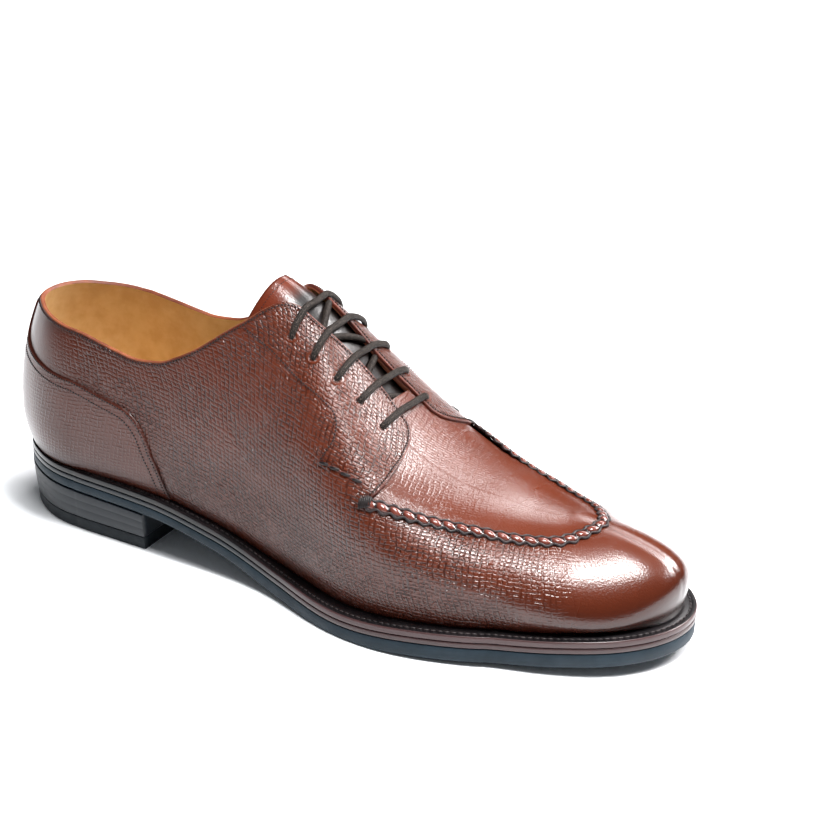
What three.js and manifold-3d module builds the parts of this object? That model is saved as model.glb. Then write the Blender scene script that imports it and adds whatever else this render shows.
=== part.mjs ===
// A right derby shoe with a split toe and a raised apron, lengths in millimetres.
// X runs from heel to toe, Y from the outer side to the inner side and Z up.
// The origin is on the ground, under the middle of the shoe.

import * as THREE from 'three';
import { mergeVertices } from 'three/addons/utils/BufferGeometryUtils.js';
import Module from 'manifold-3d';

const wasm = await Module();
wasm.setup();

// Driving sizes of the last
const soleLength = 308;        // heel to toe along the edge of the welt
const jointWidth = 103;        // widest line of the upper across the joints
const instepRise = 98.5;       // instep ridge above the feather line, where upper and welt meet
const heelRise = 18.5;         // how much higher the heel seat lies than the joint
const toeSpring = 5.9;         // how much higher the toe lies than the joint
const jointRise = 10.5;        // feather line above the ground at the joint
const weltShelf = 6.6;         // how far the welt stands out beyond the upper at the joint

// Sole layers
const weltThick = 2.5;
const weltInside = 7.2;        // how far the welt reaches under the upper and the insole
const midsoleThick = 2.1;
const outsoleThick = 5.9;
const outsoleSeatThick = 4.3;  // outsole over the heel
const topLiftThick = 5.7;
const heelLength = 80;         // from the back of the welt to the heel breast
const heelTaper = 1.8;         // how far the heel draws in from top to bottom
const edgeRound = 0.7;         // rounding on the sole's edges
const insoleThick = 3;

// Upper
const upperWall = 2;
const vampStep = 1.6;          // how far the plug lies below the facings
const counterThick = 1.1;
const counterRecess = 0.5;     // how deep the quarter is skived to take the counter
const tongueThick = 1.8;
const tongueGap = 1.1;         // between the tongue and the lining over it
const apronHalfWidth = 2.3;
const apronHeight = 1.3;
const toeSeamHalfWidth = 2.2;
const toeSeamHeight = 0.5;
const seamRoot = 1;            // how deep the raised seams are rooted in the wall
const eyeletRadius = 2;
const cordRadius = 1.35;
const seam = 0.3;              // gap between pieces that meet
const cutClear = 8;            // how far a cutting body reaches past the wall it cuts

// Sections of the last, from the back of the heel round the outer or inner side to the toe.
// x is a share of soleLength, and angle turns the section from straight back (180) to straight
// ahead (0). outer, inner and tuck are shares of jointWidth, belly and ridge of instepRise, and
// the shelves of weltShelf. side and crown say how full the section is below and above.
const SECTIONS = [
  { x: 0.135, angle: 180, outer: 0.414, inner: 0.414, belly: 0.177, tuck: 0.035,
    ridge: 0.972, side: 0.56, crown: 0.47, outerShelf: 0.22, innerShelf: 0.22 },
  { x: 0.135, angle: 135, outer: 0.358, inner: 0.358, belly: 0.175, tuck: 0.036,
    ridge: 0.972, side: 0.55, crown: 0.47, outerShelf: 0.27, innerShelf: 0.27 },
  { x: 0.142, angle: 90, outer: 0.333, inner: 0.335, belly: 0.183, tuck: 0.032,
    ridge: 0.972, side: 0.56, crown: 0.47, outerShelf: 0.42, innerShelf: 0.42 },
  { x: 0.252, angle: 90, outer: 0.334, inner: 0.331, belly: 0.193, tuck: 0.031,
    ridge: 1.019, side: 0.52, crown: 0.45, outerShelf: 0.64, innerShelf: 0.52 },
  { x: 0.369, angle: 90, outer: 0.346, inner: 0.326, belly: 0.216, tuck: 0.028,
    ridge: 1.073, side: 0.50, crown: 0.46, outerShelf: 0.67, innerShelf: 0.48 },
  { x: 0.479, angle: 90, outer: 0.392, inner: 0.365, belly: 0.256, tuck: 0.036,
    ridge: 1.001, side: 0.55, crown: 0.52, outerShelf: 0.89, innerShelf: 0.73 },
  { x: 0.586, angle: 90, outer: 0.496, inner: 0.446, belly: 0.270, tuck: 0.034,
    ridge: 0.695, side: 0.69, crown: 0.64, outerShelf: 1.12, innerShelf: 1.00 },
  { x: 0.690, angle: 90, outer: 0.527, inner: 0.471, belly: 0.208, tuck: 0.034,
    ridge: 0.443, side: 0.66, crown: 0.63, outerShelf: 1.09, innerShelf: 1.00 },
  { x: 0.784, angle: 90, outer: 0.464, inner: 0.423, belly: 0.137, tuck: 0.034,
    ridge: 0.357, side: 0.59, crown: 0.55, outerShelf: 0.94, innerShelf: 0.91 },
  { x: 0.829, angle: 70, outer: 0.404, inner: 0.386, belly: 0.061, tuck: 0.031,
    ridge: 0.335, side: 0.47, crown: 0.47, outerShelf: 0.95, innerShelf: 0.95 },
  { x: 0.836, angle: 35, outer: 0.416, inner: 0.400, belly: 0.056, tuck: 0.024,
    ridge: 0.335, side: 0.46, crown: 0.49, outerShelf: 0.94, innerShelf: 0.94 },
  { x: 0.836, angle: 0, outer: 0.453, inner: 0.453, belly: 0.127, tuck: 0.015,
    ridge: 0.335, side: 0.58, crown: 0.59, outerShelf: 0.82, innerShelf: 0.82 },
];
const BELLY_SHARE = 0.3;       // share of a section's girth from feather line to widest line
const LAST_ROW = SECTIONS.length - 1;
const FIRST_SIDE_ROW = 2;
const FIRST_TOE_ROW = 9;

// Feather line along the shoe: x is a share of soleLength, heel of heelRise, toe of toeSpring.
const GROUND = [
  { x: 0.000, heel: 1.00, toe: 0.00 },
  { x: 0.148, heel: 0.94, toe: 0.00 },
  { x: 0.271, heel: 0.855, toe: 0.00 },
  { x: 0.375, heel: 0.56, toe: 0.00 },
  { x: 0.489, heel: 0.12, toe: 0.00 },
  { x: 0.602, heel: 0.00, toe: 0.00 },
  { x: 0.706, heel: 0.00, toe: 0.27 },
  { x: 0.813, heel: 0.00, toe: 0.46 },
  { x: 0.910, heel: 0.00, toe: 0.80 },
  { x: 1.010, heel: 0.00, toe: 1.00 },
];

// Middle line of the shoe: y as a share of jointWidth.
const MIDDLE = [
  { x: 0.00, y: 0 },
  { x: 0.27, y: 0 },
  { x: 0.48, y: 0.006 },
  { x: 0.67, y: 0.020 },
  { x: 0.84, y: 0.040 },
  { x: 1.00, y: 0.058 },
];

// Lines drawn on the last: row counts along SECTIONS, girth runs from 0 at the feather line
// to 1 at the ridge.
const TOP_LINE = [
  { row: 0.00, outer: 0.592, inner: 0.592 },
  { row: 0.60, outer: 0.592, inner: 0.596 },
  { row: 1.10, outer: 0.582, inner: 0.588 },
  { row: 1.40, outer: 0.5725, inner: 0.580 },
  { row: 1.70, outer: 0.5625, inner: 0.571 },
  { row: 1.85, outer: 0.560, inner: 0.569 },
  { row: 2.10, outer: 0.5575, inner: 0.5665 },
  { row: 2.25, outer: 0.5535, inner: 0.563 },
  { row: 2.50, outer: 0.540, inner: 0.551 },
  { row: 2.72, outer: 0.527, inner: 0.538 },
  { row: 2.93, outer: 0.5185, inner: 0.529 },
  { row: 3.23, outer: 0.524, inner: 0.534 },
  { row: 3.48, outer: 0.550, inner: 0.556 },
  { row: 3.73, outer: 0.590, inner: 0.592 },
  { row: 4.00, outer: 0.648, inner: 0.648 },
  { row: 4.25, outer: 0.708, inner: 0.712 },
  { row: 4.45, outer: 0.776, inner: 0.790 },
  { row: 4.65, outer: 0.848, inner: 0.858 },
  { row: 4.82, outer: 0.878, inner: 0.900 },
  { row: 5.00, outer: 0.886, inner: 0.925 },
  { row: 5.25, outer: 0.908, inner: 0.935 },
  { row: 5.50, outer: 0.938, inner: 0.935 },
  { row: 5.80, outer: 0.962, inner: 0.915 },
  { row: 6.05, outer: 0.970, inner: 0.888 },
  { row: 6.40, outer: 0.970, inner: 0.880 },
  { row: 11.00, outer: 0.930, inner: 0.930 },
];
const THROAT_ROW = 6.05;       // where the slit between the facings ends

// Front edge of the facings: across is 0 at the apron seam and 1 at the ridge.
const FACING_FRONT = [
  { across: 0.00, row: 6.34 },
  { across: 0.15, row: 6.40 },
  { across: 0.35, row: 6.45 },
  { across: 0.60, row: 6.46 },
  { across: 0.74, row: 6.40 },
  { across: 0.86, row: 6.31 },
];
const VAMP_RISE_ROW = 7.4;     // where the plug is level with the side walls again

// Apron seam from the corner of the facing round to the tip
const APRON = [
  { row: 6.30, girth: 0.530 },
  { row: 6.60, girth: 0.590 },
  { row: 6.90, girth: 0.640 },
  { row: 7.25, girth: 0.683 },
  { row: 7.60, girth: 0.712 },
  { row: 8.05, girth: 0.727 },
  { row: 8.50, girth: 0.756 },
  { row: 9.10, girth: 0.808 },
  { row: 9.80, girth: 0.862 },
  { row: 10.60, girth: 0.896 },
  { row: 11.00, girth: 0.904 },
];
const TOE_SEAM = { row: 10.88, topGirth: 0.885, bottomGirth: 0.06 };

// Half outlines of the raised seams, as shares of their half width and height
const APRON_OUTLINE = [
  { across: 0.85, lift: 0.35 },
  { across: 0.40, lift: 1.00 },
];
const TOE_OUTLINE = [
  { across: 0.70, lift: 1.00 },
  { across: 0.15, lift: 0.24 },
];

// Upper edge of the heel counter, with its narrow strip up the back
const COUNTER = [
  { row: 0.00, girth: 0.575 },
  { row: 0.36, girth: 0.572 },
  { row: 0.52, girth: 0.500 },
  { row: 0.80, girth: 0.474 },
  { row: 1.25, girth: 0.452 },
  { row: 1.60, girth: 0.437 },
  { row: 1.80, girth: 0.4325 },
  { row: 2.10, girth: 0.4295 },
  { row: 2.30, girth: 0.4235 },
  { row: 2.60, girth: 0.407 },
  { row: 2.85, girth: 0.392 },
  { row: 3.05, girth: 0.362 },
  { row: 3.18, girth: 0.320 },
  { row: 3.28, girth: 0.240 },
  { row: 3.36, girth: 0.125 },
  { row: 3.42, girth: 0.040 },
];
const COUNTER_FOOT = 0.02;     // girth of the counter's lower edge

// Tongue: the rows of its top in the middle and at its edges, and where it ends under the vamp
const TONGUE = { topRow: 4.4, edgeRow: 4.2, endRow: 6.8, edgeGirth: 0.70 };

// Lace holes, the same on both facings
const EYELETS = [
  { row: 4.87, girth: 0.762 },
  { row: 5.19, girth: 0.768 },
  { row: 5.51, girth: 0.796 },
  { row: 5.80, girth: 0.830 },
  { row: 6.10, girth: 0.850 },
];

// Smooth line through a table's points that never overshoots them
function smoothLine(xs, ys) {
  const last = xs.length - 1;
  const steps = [];
  const rises = [];
  for (let i = 0; i < last; i += 1) {
    steps.push(xs[i + 1] - xs[i]);
    rises.push((ys[i + 1] - ys[i]) / steps[i]);
  }
  const endSlope = (h0, h1, r0, r1) => {
    const slope = ((2 * h0 + h1) * r0 - h0 * r1) / (h0 + h1);
    if (slope * r0 <= 0) return 0;
    if (r0 * r1 <= 0 && Math.abs(slope) > 3 * Math.abs(r0)) return 3 * r0;
    return slope;
  };
  const slopes = [endSlope(steps[0], steps[1], rises[0], rises[1])];
  for (let i = 1; i < last; i += 1) {
    const before = 2 * steps[i] + steps[i - 1];
    const after = steps[i] + 2 * steps[i - 1];
    const turns = rises[i - 1] * rises[i] <= 0;
    slopes.push(turns ? 0 : (before + after) / (before / rises[i - 1] + after / rises[i]));
  }
  slopes.push(endSlope(steps[last - 1], steps[last - 2], rises[last - 1], rises[last - 2]));
  return (x) => {
    const at = Math.min(Math.max(x, xs[0]), xs[last]);
    let i = 0;
    while (i < last - 1 && at > xs[i + 1]) i += 1;
    const t = (at - xs[i]) / steps[i];
    const bend = ys[i] * (1 + 2 * t) * (1 - t) ** 2 + ys[i + 1] * t * t * (3 - 2 * t);
    return bend + steps[i] * (slopes[i] * t * (1 - t) ** 2 - slopes[i + 1] * t * t * (1 - t));
  };
}

// Line with no kinks in its bend, level at both ends
function roundLine(ys) {
  const last = ys.length - 1;
  const slopes = new Array(last + 1).fill(0);
  const share = new Array(last + 1).fill(0);
  const rest = new Array(last + 1).fill(0);
  for (let i = 1; i < last; i += 1) {
    const pull = 4 - share[i - 1];
    share[i] = 1 / pull;
    rest[i] = (3 * (ys[i + 1] - ys[i - 1]) - rest[i - 1]) / pull;
  }
  for (let i = last - 1; i > 0; i -= 1) slopes[i] = rest[i] - share[i] * slopes[i + 1];
  return (x) => {
    const at = Math.min(Math.max(x, 0), last);
    const i = Math.min(Math.floor(at), last - 1);
    const t = at - i;
    const bend = ys[i] * (1 + 2 * t) * (1 - t) ** 2 + ys[i + 1] * t * t * (3 - 2 * t);
    return bend + slopes[i] * t * (1 - t) ** 2 - slopes[i + 1] * t * t * (1 - t);
  };
}

function tableLine(table, key, value) {
  return smoothLine(table.map((line) => line[key]), table.map((line) => line[value]));
}

const rowNumbers = SECTIONS.map((section, i) => i);
const sectionLines = {};
for (const name of Object.keys(SECTIONS[0])) {
  const values = SECTIONS.map((section) => section[name]);
  const steady = name === 'x' || name === 'angle';
  sectionLines[name] = steady ? smoothLine(rowNumbers, values) : roundLine(values);
}
const ridgeLine = roundLine(SECTIONS.slice(FIRST_SIDE_ROW, FIRST_TOE_ROW + 1).map((s) => s.ridge));
sectionLines.ridge = (row) => ridgeLine(row - FIRST_SIDE_ROW);
const heelShare = tableLine(GROUND, 'x', 'heel');
const toeShare = tableLine(GROUND, 'x', 'toe');
const middleShare = tableLine(MIDDLE, 'x', 'y');
const topLines = { outer: tableLine(TOP_LINE, 'row', 'outer'), inner: tableLine(TOP_LINE, 'row', 'inner') };

const featherHeight = (x) => jointRise + heelRise * heelShare(x / soleLength)
  + toeSpring * toeShare(x / soleLength);
const middle = (x) => jointWidth * middleShare(x / soleLength);

const ridgeRows = SECTIONS.slice(FIRST_SIDE_ROW, FIRST_TOE_ROW + 1);
const ridgeHeight = smoothLine(
  ridgeRows.map((section) => section.x * soleLength),
  ridgeRows.map((section) => featherHeight(section.x * soleLength) + section.ridge * instepRise),
);
const toeRidgeSlope = -0.1;
const slopeBlend = 16;         // length over which the ridge's slope turns into the toe's
function ridgeSlope(x) {
  if (x < SECTIONS[FIRST_SIDE_ROW].x * soleLength) return 0;
  const toeStart = SECTIONS[FIRST_TOE_ROW].x * soleLength;
  const toe = THREE.MathUtils.smoothstep(x, toeStart - slopeBlend, toeStart);
  return (ridgeHeight(x + 0.5) - ridgeHeight(x - 0.5)) * (1 - toe) + toeRidgeSlope * toe;
}

// Real sizes of the section at a row, side being 'outer' or 'inner'
function sectionAt(row, side) {
  const value = (name) => sectionLines[name](row);
  const x = value('x') * soleLength;
  const angle = THREE.MathUtils.degToRad(value('angle'));
  const sign = side === 'outer' ? -1 : 1;
  return {
    x,
    across: new THREE.Vector2(Math.cos(angle), sign * Math.sin(angle)),
    width: value(side) * jointWidth,
    tuck: value('tuck') * jointWidth,
    belly: value('belly') * instepRise,
    ridge: featherHeight(x) + value('ridge') * instepRise,
    side: value('side'),
    crown: value('crown'),
    shelf: value(`${side}Shelf`) * weltShelf,
  };
}

// Point of the upper's outside, girth from 0 at the feather line to 1 at the ridge
function lastPoint(row, side, girth) {
  const s = sectionAt(row, side);
  const base = featherHeight(s.x + s.across.x * (s.width - s.tuck)) + seam;
  let reach;
  let height;
  if (girth < BELLY_SHARE) {
    const t = girth / BELLY_SHARE;
    reach = s.width - s.tuck * (1 - t) ** 2;
    height = base + s.belly * t;
  } else {
    const t = (girth - BELLY_SHARE) / (1 - BELLY_SHARE);
    const low = base + s.belly;
    const top = s.ridge + ridgeSlope(s.x) * s.across.x * s.crown * s.width;
    const w0 = (1 - t) ** 3;
    const w1 = 3 * (1 - t) ** 2 * t;
    const w2 = 3 * (1 - t) * t * t;
    reach = s.width * (w0 + w1 + w2 * s.crown);
    height = low * w0 + (low + s.side * (s.ridge - low)) * w1 + top * w2 + s.ridge * t ** 3;
  }
  return new THREE.Vector3(s.x + s.across.x * reach, middle(s.x) + s.across.y * reach, height);
}

function lastNormal(row, side, girth) {
  const small = 0.004;
  const up = lastPoint(row, side, Math.min(girth + small, 1))
    .sub(lastPoint(row, side, Math.max(girth - small, 0)));
  const along = lastPoint(Math.min(row + small, LAST_ROW), side, girth)
    .sub(lastPoint(Math.max(row - small, 0), side, girth));
  const sign = side === 'outer' ? -1 : 1;
  if (girth > 1 - small) {
    return new THREE.Vector3(-ridgeSlope(sectionLines.x(row) * soleLength), 0, 1).normalize();
  }
  if (row < small) along.set(0, -1, 0).multiplyScalar(-sign);
  if (row > LAST_ROW - small) along.set(0, -sign, 0);
  return along.cross(up).multiplyScalar(-sign).normalize();
}

function skinPoint(row, side, girth, lift) {
  return lastPoint(row, side, girth).addScaledVector(lastNormal(row, side, girth), lift);
}

// Closed body gathered from faces
class Body {
  constructor() {
    this.points = [];
  }

  triangle(a, b, c) {
    this.points.push(a.x, a.y, a.z, b.x, b.y, b.z, c.x, c.y, c.z);
  }

  quad(a, b, c, d) {
    this.triangle(a, b, c);
    this.triangle(a, c, d);
  }

  // Joins two rows of points of the same count
  band(from, to) {
    for (let i = 0; i < from.length - 1; i += 1) this.quad(from[i], from[i + 1], to[i + 1], to[i]);
  }

  solid() {
    const geometry = new THREE.BufferGeometry();
    geometry.setAttribute('position', new THREE.Float32BufferAttribute(this.points, 3));
    return solidOf(geometry);
  }
}

function solidOf(geometry) {
  const bare = geometry.clone();
  bare.deleteAttribute('normal');
  bare.deleteAttribute('uv');
  const merged = mergeVertices(bare, 1e-3);
  const index = merged.index.array;
  const kept = [];
  for (let i = 0; i < index.length; i += 3) {
    const [a, b, c] = [index[i], index[i + 1], index[i + 2]];
    if (a !== b && b !== c && c !== a) kept.push(a, b, c);
  }
  const mesh = new wasm.Mesh({
    numProp: 3,
    vertProperties: new Float32Array(merged.attributes.position.array),
    triVerts: new Uint32Array(kept),
  });
  return new wasm.Manifold(mesh);
}

function geometryOf(solid) {
  const mesh = solid.getMesh();
  const geometry = new THREE.BufferGeometry();
  geometry.setAttribute('position', new THREE.BufferAttribute(new Float32Array(mesh.vertProperties), 3));
  geometry.setIndex(new THREE.BufferAttribute(new Uint32Array(mesh.triVerts), 1));
  geometry.computeVertexNormals();
  return geometry;
}

function spread(from, to, count) {
  return Array.from({ length: count + 1 }, (unused, i) => from + ((to - from) * i) / count);
}

// Rows of the sheets: close together round the heel and the toe
const SHEET_ROWS = [
  ...spread(0, 2, 8),
  ...spread(2, THROAT_ROW, 14).slice(1),
  ...spread(THROAT_ROW, 8, 7).slice(1),
  ...spread(8, LAST_ROW, 10).slice(1),
];

// The wall is thicker where the facings lie over the vamp
function wallAt(row, girth) {
  const start = THREE.MathUtils.smoothstep(row, 5.3, 6.0);
  const end = THREE.MathUtils.smoothstep(row, 6.6, VAMP_RISE_ROW);
  const above = THREE.MathUtils.smoothstep(girth, 0.3, 0.5);
  return upperWall + vampStep * start * (1 - end) * above;
}

// Point of the wall, face being 0 on the outside and 1 on the inside
function wallPoint(row, side, girth, face) {
  return skinPoint(row, side, girth, -face * wallAt(row, girth));
}

function makeUpperWall() {
  const shares = [0, 0.07, 0.18, 0.31, 0.44, 0.56, 0.67, 0.77, 0.86, 0.93, 1];
  const body = new Body();
  const closeShares = spread(0, 1, 4);
  for (const side of ['outer', 'inner']) {
    const flip = side === 'inner';
    const add = (a, b) => (flip ? body.band(b, a) : body.band(a, b));
    const rowPoints = (row, face) => shares.map((share) => (
      wallPoint(row, side, share * topLines[side](row), face)));
    const closePoints = (row, face) => closeShares.map((share) => {
      const top = topLines[side](row);
      return wallPoint(row, side, top + (1 - top) * share, face);
    });
    for (let i = 0; i < SHEET_ROWS.length - 1; i += 1) {
      const [here, next] = [SHEET_ROWS[i], SHEET_ROWS[i + 1]];
      const [outHere, outNext] = [rowPoints(here, 0), rowPoints(next, 0)];
      const [inHere, inNext] = [rowPoints(here, 1), rowPoints(next, 1)];
      add(outNext, outHere);
      add(inHere, inNext);
      add([outHere[0], inHere[0]], [outNext[0], inNext[0]]);
      const top = shares.length - 1;
      if (next <= THROAT_ROW + 1e-6) {
        add([inHere[top], outHere[top]], [inNext[top], outNext[top]]);
      } else {
        add(closePoints(next, 0), closePoints(here, 0));
        add(closePoints(here, 1), closePoints(next, 1));
      }
    }
    add(closePoints(THROAT_ROW, 0), closePoints(THROAT_ROW, 1));
  }
  return body.solid();
}

// A sheet over the last between two lifts, bounded by any four edges: place(s, t) gives the row,
// side and girth, low and high the lifts at s and t
function makePatch(acrossCount, alongCount, place, low, high) {
  const body = new Body();
  const grid = (lift) => spread(0, 1, alongCount).map((s) => (
    spread(0, 1, acrossCount).map((t) => {
      const { row, side, girth } = place(s, t);
      return skinPoint(row, side, girth, lift(s, t));
    })));
  const bottom = grid(low);
  const top = grid(high);
  for (let i = 0; i < alongCount; i += 1) {
    body.band(top[i], top[i + 1]);
    body.band(bottom[i + 1], bottom[i]);
    body.quad(top[i][0], top[i + 1][0], bottom[i + 1][0], bottom[i][0]);
    const end = acrossCount;
    body.quad(top[i + 1][end], top[i][end], bottom[i][end], bottom[i + 1][end]);
  }
  body.band(bottom[0], top[0]);
  body.band(top[alongCount], bottom[alongCount]);
  return body.solid();
}

// t from 0 at the inner side's edge over the ridge to 1 at the outer side's edge
function overRidge(t, edgeGirth) {
  const side = t < 0.5 ? 'inner' : 'outer';
  const share = t < 0.5 ? t * 2 : (1 - t) * 2;
  return { side, share, girth: edgeGirth + (1 - edgeGirth) * share };
}

// Space over the plug: taking it off the wall leaves the facings standing proud
function makePlugSpace() {
  const apron = tableLine(APRON, 'row', 'girth');
  const front = tableLine(FACING_FRONT, 'across', 'row');
  const slitShare = FACING_FRONT[FACING_FRONT.length - 1].across;
  const place = (s, t) => {
    const { side, share } = overRidge(t, 0);
    const start = share <= slitShare + 1e-6 ? front(share) : THROAT_ROW - 0.02;
    const row = start + (VAMP_RISE_ROW - start) * s;
    const edge = apron(row);
    return { row, side, girth: edge + (1 - edge) * share };
  };
  const depth = (s) => -vampStep * (1 - THREE.MathUtils.smoothstep(s, 0.15, 1));
  return makePatch(20, 4, place, depth, () => cutClear);
}

// Sweeps a closed outline of [across, lift] pairs along a line on the last
function makeRidge(places, outline) {
  const centres = places.map(({ row, side, girth }) => lastPoint(row, side, girth));
  const rings = places.map(({ row, side, girth }, i) => {
    const normal = lastNormal(row, side, girth);
    const ahead = centres[Math.min(i + 1, centres.length - 1)].clone()
      .sub(centres[Math.max(i - 1, 0)]);
    const across = normal.clone().cross(ahead).normalize();
    return outline.map(([out, lift]) => (
      centres[i].clone().addScaledVector(across, out).addScaledVector(normal, lift)));
  });
  const body = new Body();
  const loop = (ring) => [...ring, ring[0]];
  for (let i = 0; i < rings.length - 1; i += 1) body.band(loop(rings[i]), loop(rings[i + 1]));
  const first = rings[0];
  const last = rings[rings.length - 1];
  for (let i = 1; i < outline.length - 1; i += 1) {
    body.triangle(first[0], first[i + 1], first[i]);
    body.triangle(last[0], last[i], last[i + 1]);
  }
  return body.solid();
}

// Whole outline of a raised seam from its half
function seamOutline(half, halfWidth, height) {
  const right = half.map(({ across, lift }) => [across * halfWidth, lift * height]);
  const left = right.map(([across, lift]) => [-across, lift]).reverse();
  return [[halfWidth, -seamRoot], ...right, ...left, [-halfWidth, -seamRoot]];
}

function makeApronRidge() {
  const girthAt = tableLine(APRON, 'row', 'girth');
  const rows = [...spread(APRON[0].row, 8, 8), ...spread(8, LAST_ROW, 11).slice(1)];
  const side = (name) => rows.map((row) => ({ row, side: name, girth: girthAt(row) }));
  const places = [...side('outer'), ...side('inner').reverse().slice(1)];
  return makeRidge(places, seamOutline(APRON_OUTLINE, apronHalfWidth, apronHeight));
}

function makeToeSeam() {
  const places = spread(TOE_SEAM.topGirth, TOE_SEAM.bottomGirth, 8)
    .map((girth) => ({ row: TOE_SEAM.row, side: 'outer', girth }));
  return makeRidge(places, seamOutline(TOE_OUTLINE, toeSeamHalfWidth, toeSeamHeight));
}

function makeCounter(grow, low, high) {
  const top = tableLine(COUNTER, 'row', 'girth');
  const end = COUNTER[COUNTER.length - 1].row;
  const rows = [0, 0.34, 0.52, 0.8, 1.1, 1.5, 1.9, 2.3, 2.7, 3.05, 3.18, 3.28, 3.36, end];
  const stops = [...rows.slice(1).reverse().map((row) => ({ row, side: 'outer' })),
    ...rows.map((row) => ({ row, side: 'inner' }))];
  const place = (s, t) => {
    const { row, side } = stops[Math.round(s * (stops.length - 1))];
    const reach = row + grow * (row / end);
    const foot = COUNTER_FOOT - grow;
    return { row: reach, side, girth: foot + (top(row) + grow - foot) * t };
  };
  return makePatch(5, stops.length - 1, place, () => low, () => high);
}

function makeCounterPiece() {
  const low = seam - counterRecess;
  return makeCounter(0, low, low + counterThick);
}

function makeHoles() {
  const holes = [];
  for (const side of ['outer', 'inner']) {
    for (const { row, girth } of EYELETS) {
      const hole = new THREE.CylinderGeometry(eyeletRadius, eyeletRadius, 2 * cutClear, 10);
      const turn = new THREE.Quaternion().setFromUnitVectors(
        new THREE.Vector3(0, 1, 0), lastNormal(row, side, girth));
      hole.applyQuaternion(turn);
      hole.translate(...lastPoint(row, side, girth).toArray());
      holes.push(solidOf(hole));
    }
  }
  return holes;
}

function makeUpper() {
  let upper = makeUpperWall().subtract(makePlugSpace());
  upper = upper.subtract(makeCounter(0.006, -counterRecess, cutClear));
  upper = upper.add(makeApronRidge()).add(makeToeSeam());
  for (const hole of makeHoles()) upper = upper.subtract(hole);
  return upper;
}

function makeTongue() {
  const place = (s, t) => {
    const { side, share, girth } = overRidge(t, TONGUE.edgeGirth);
    const start = TONGUE.topRow + (TONGUE.edgeRow - TONGUE.topRow) * (1 - share) ** 1.5;
    return { row: start + (TONGUE.endRow - start) * s, side, girth };
  };
  const top = (s, t) => -wallAt(place(s, t).row, place(s, t).girth) - tongueGap;
  return makePatch(12, 12, place, (s, t) => top(s, t) - tongueThick, top);
}

// Feather line as points from the heel round the outer side to the toe and back, with the
// direction square to it and the shelf there
const OUTLINE_ROWS = [
  ...spread(0, 2, 8),
  ...spread(2, 5.5, 8).slice(1),
  ...spread(5.5, 6.7, 5).slice(1),
  ...spread(6.7, 8, 3).slice(1),
  ...spread(8, LAST_ROW, 10).slice(1),
];
const outlineStops = [
  ...OUTLINE_ROWS.map((row) => ({ row, side: 'outer' })),
  ...OUTLINE_ROWS.slice(1, -1).reverse().map((row) => ({ row, side: 'inner' })),
];
const feather = outlineStops.map(({ row, side }) => ({
  point: lastPoint(row, side, 0), shelf: sectionAt(row, side).shelf,
}));
feather.forEach((stop, i) => {
  const before = feather[(i + feather.length - 1) % feather.length].point;
  const after = feather[(i + 1) % feather.length].point;
  const ahead = new THREE.Vector2(after.x - before.x, after.y - before.y).normalize();
  stop.square = new THREE.Vector2(ahead.y, -ahead.x);
});

// One ring round the shoe: out from the welt's edge, or from the feather line
function edgeRing(out, height, fromFeather = false) {
  return feather.map(({ point, shelf, square }) => {
    const reach = out + (fromFeather ? 0 : shelf);
    const x = point.x + square.x * reach;
    return new THREE.Vector3(x, point.y + square.y * reach, height(x));
  });
}

// A layer of the sole from its rings, lowest first
function makeLayer(rings) {
  const body = new Body();
  const loop = (ring) => [...ring, ring[0]];
  for (let i = 0; i < rings.length - 1; i += 1) body.band(loop(rings[i]), loop(rings[i + 1]));
  const cap = (ring, up) => {
    const far = ring.length;
    const toe = OUTLINE_ROWS.length - 1;
    for (let i = 0; i < toe; i += 1) {
      const [a, b] = [ring[i], ring[i + 1]];
      const [c, d] = [ring[(far - i - 1) % far], ring[(far - i) % far]];
      if (up) body.quad(a, b, c, d);
      else body.quad(d, c, b, a);
    }
  };
  cap(rings[0], false);
  cap(rings[rings.length - 1], true);
  return body.solid();
}

const below = (depth) => (x) => featherHeight(x) - depth;
const midsoleTop = weltThick + seam;
const outsoleTop = midsoleTop + midsoleThick + seam;
const outsoleDepth = (x) => {
  const seat = THREE.MathUtils.smoothstep(heelShare(x / soleLength), 0, 0.85);
  return outsoleTop + outsoleThick + (outsoleSeatThick - outsoleThick) * seat;
};
const tread = (lift) => (x) => Math.max(featherHeight(x) - outsoleDepth(x), 0) + lift;

function makeWelt() {
  const outer = [edgeRing(-edgeRound / 2, below(weltThick)), edgeRing(0, below(weltThick - edgeRound)),
    edgeRing(0, below(edgeRound)), edgeRing(-edgeRound, below(0))];
  const inner = [edgeRing(-weltInside, below(0), true), edgeRing(-weltInside, below(weltThick), true)];
  const body = new Body();
  const loop = (ring) => [...ring, ring[0]];
  const rings = [...outer, ...inner, outer[0]];
  for (let i = 0; i < rings.length - 1; i += 1) body.band(loop(rings[i]), loop(rings[i + 1]));
  return body.solid();
}

const makeMidsole = () => makeLayer([
  edgeRing(-edgeRound / 2, below(midsoleTop + midsoleThick)),
  edgeRing(0, below(midsoleTop + midsoleThick / 2)),
  edgeRing(-edgeRound / 2, below(midsoleTop)),
]);

const makeOutsole = () => makeLayer([
  edgeRing(-edgeRound * 1.6, tread(0)),
  edgeRing(-edgeRound / 2, tread(edgeRound)),
  edgeRing(0, below(outsoleTop + edgeRound)),
  edgeRing(-edgeRound / 2, below(outsoleTop)),
]);

const makeInsole = () => makeLayer([
  edgeRing(-weltInside - seam, below(weltThick), true),
  edgeRing(-weltInside - seam, below(-seam), true),
  edgeRing(-upperWall - 2 * seam, below(-seam), true),
  edgeRing(-upperWall - seam, below(-seam - insoleThick / 2), true),
  edgeRing(-upperWall - seam, below(-seam - insoleThick), true),
]);

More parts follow.
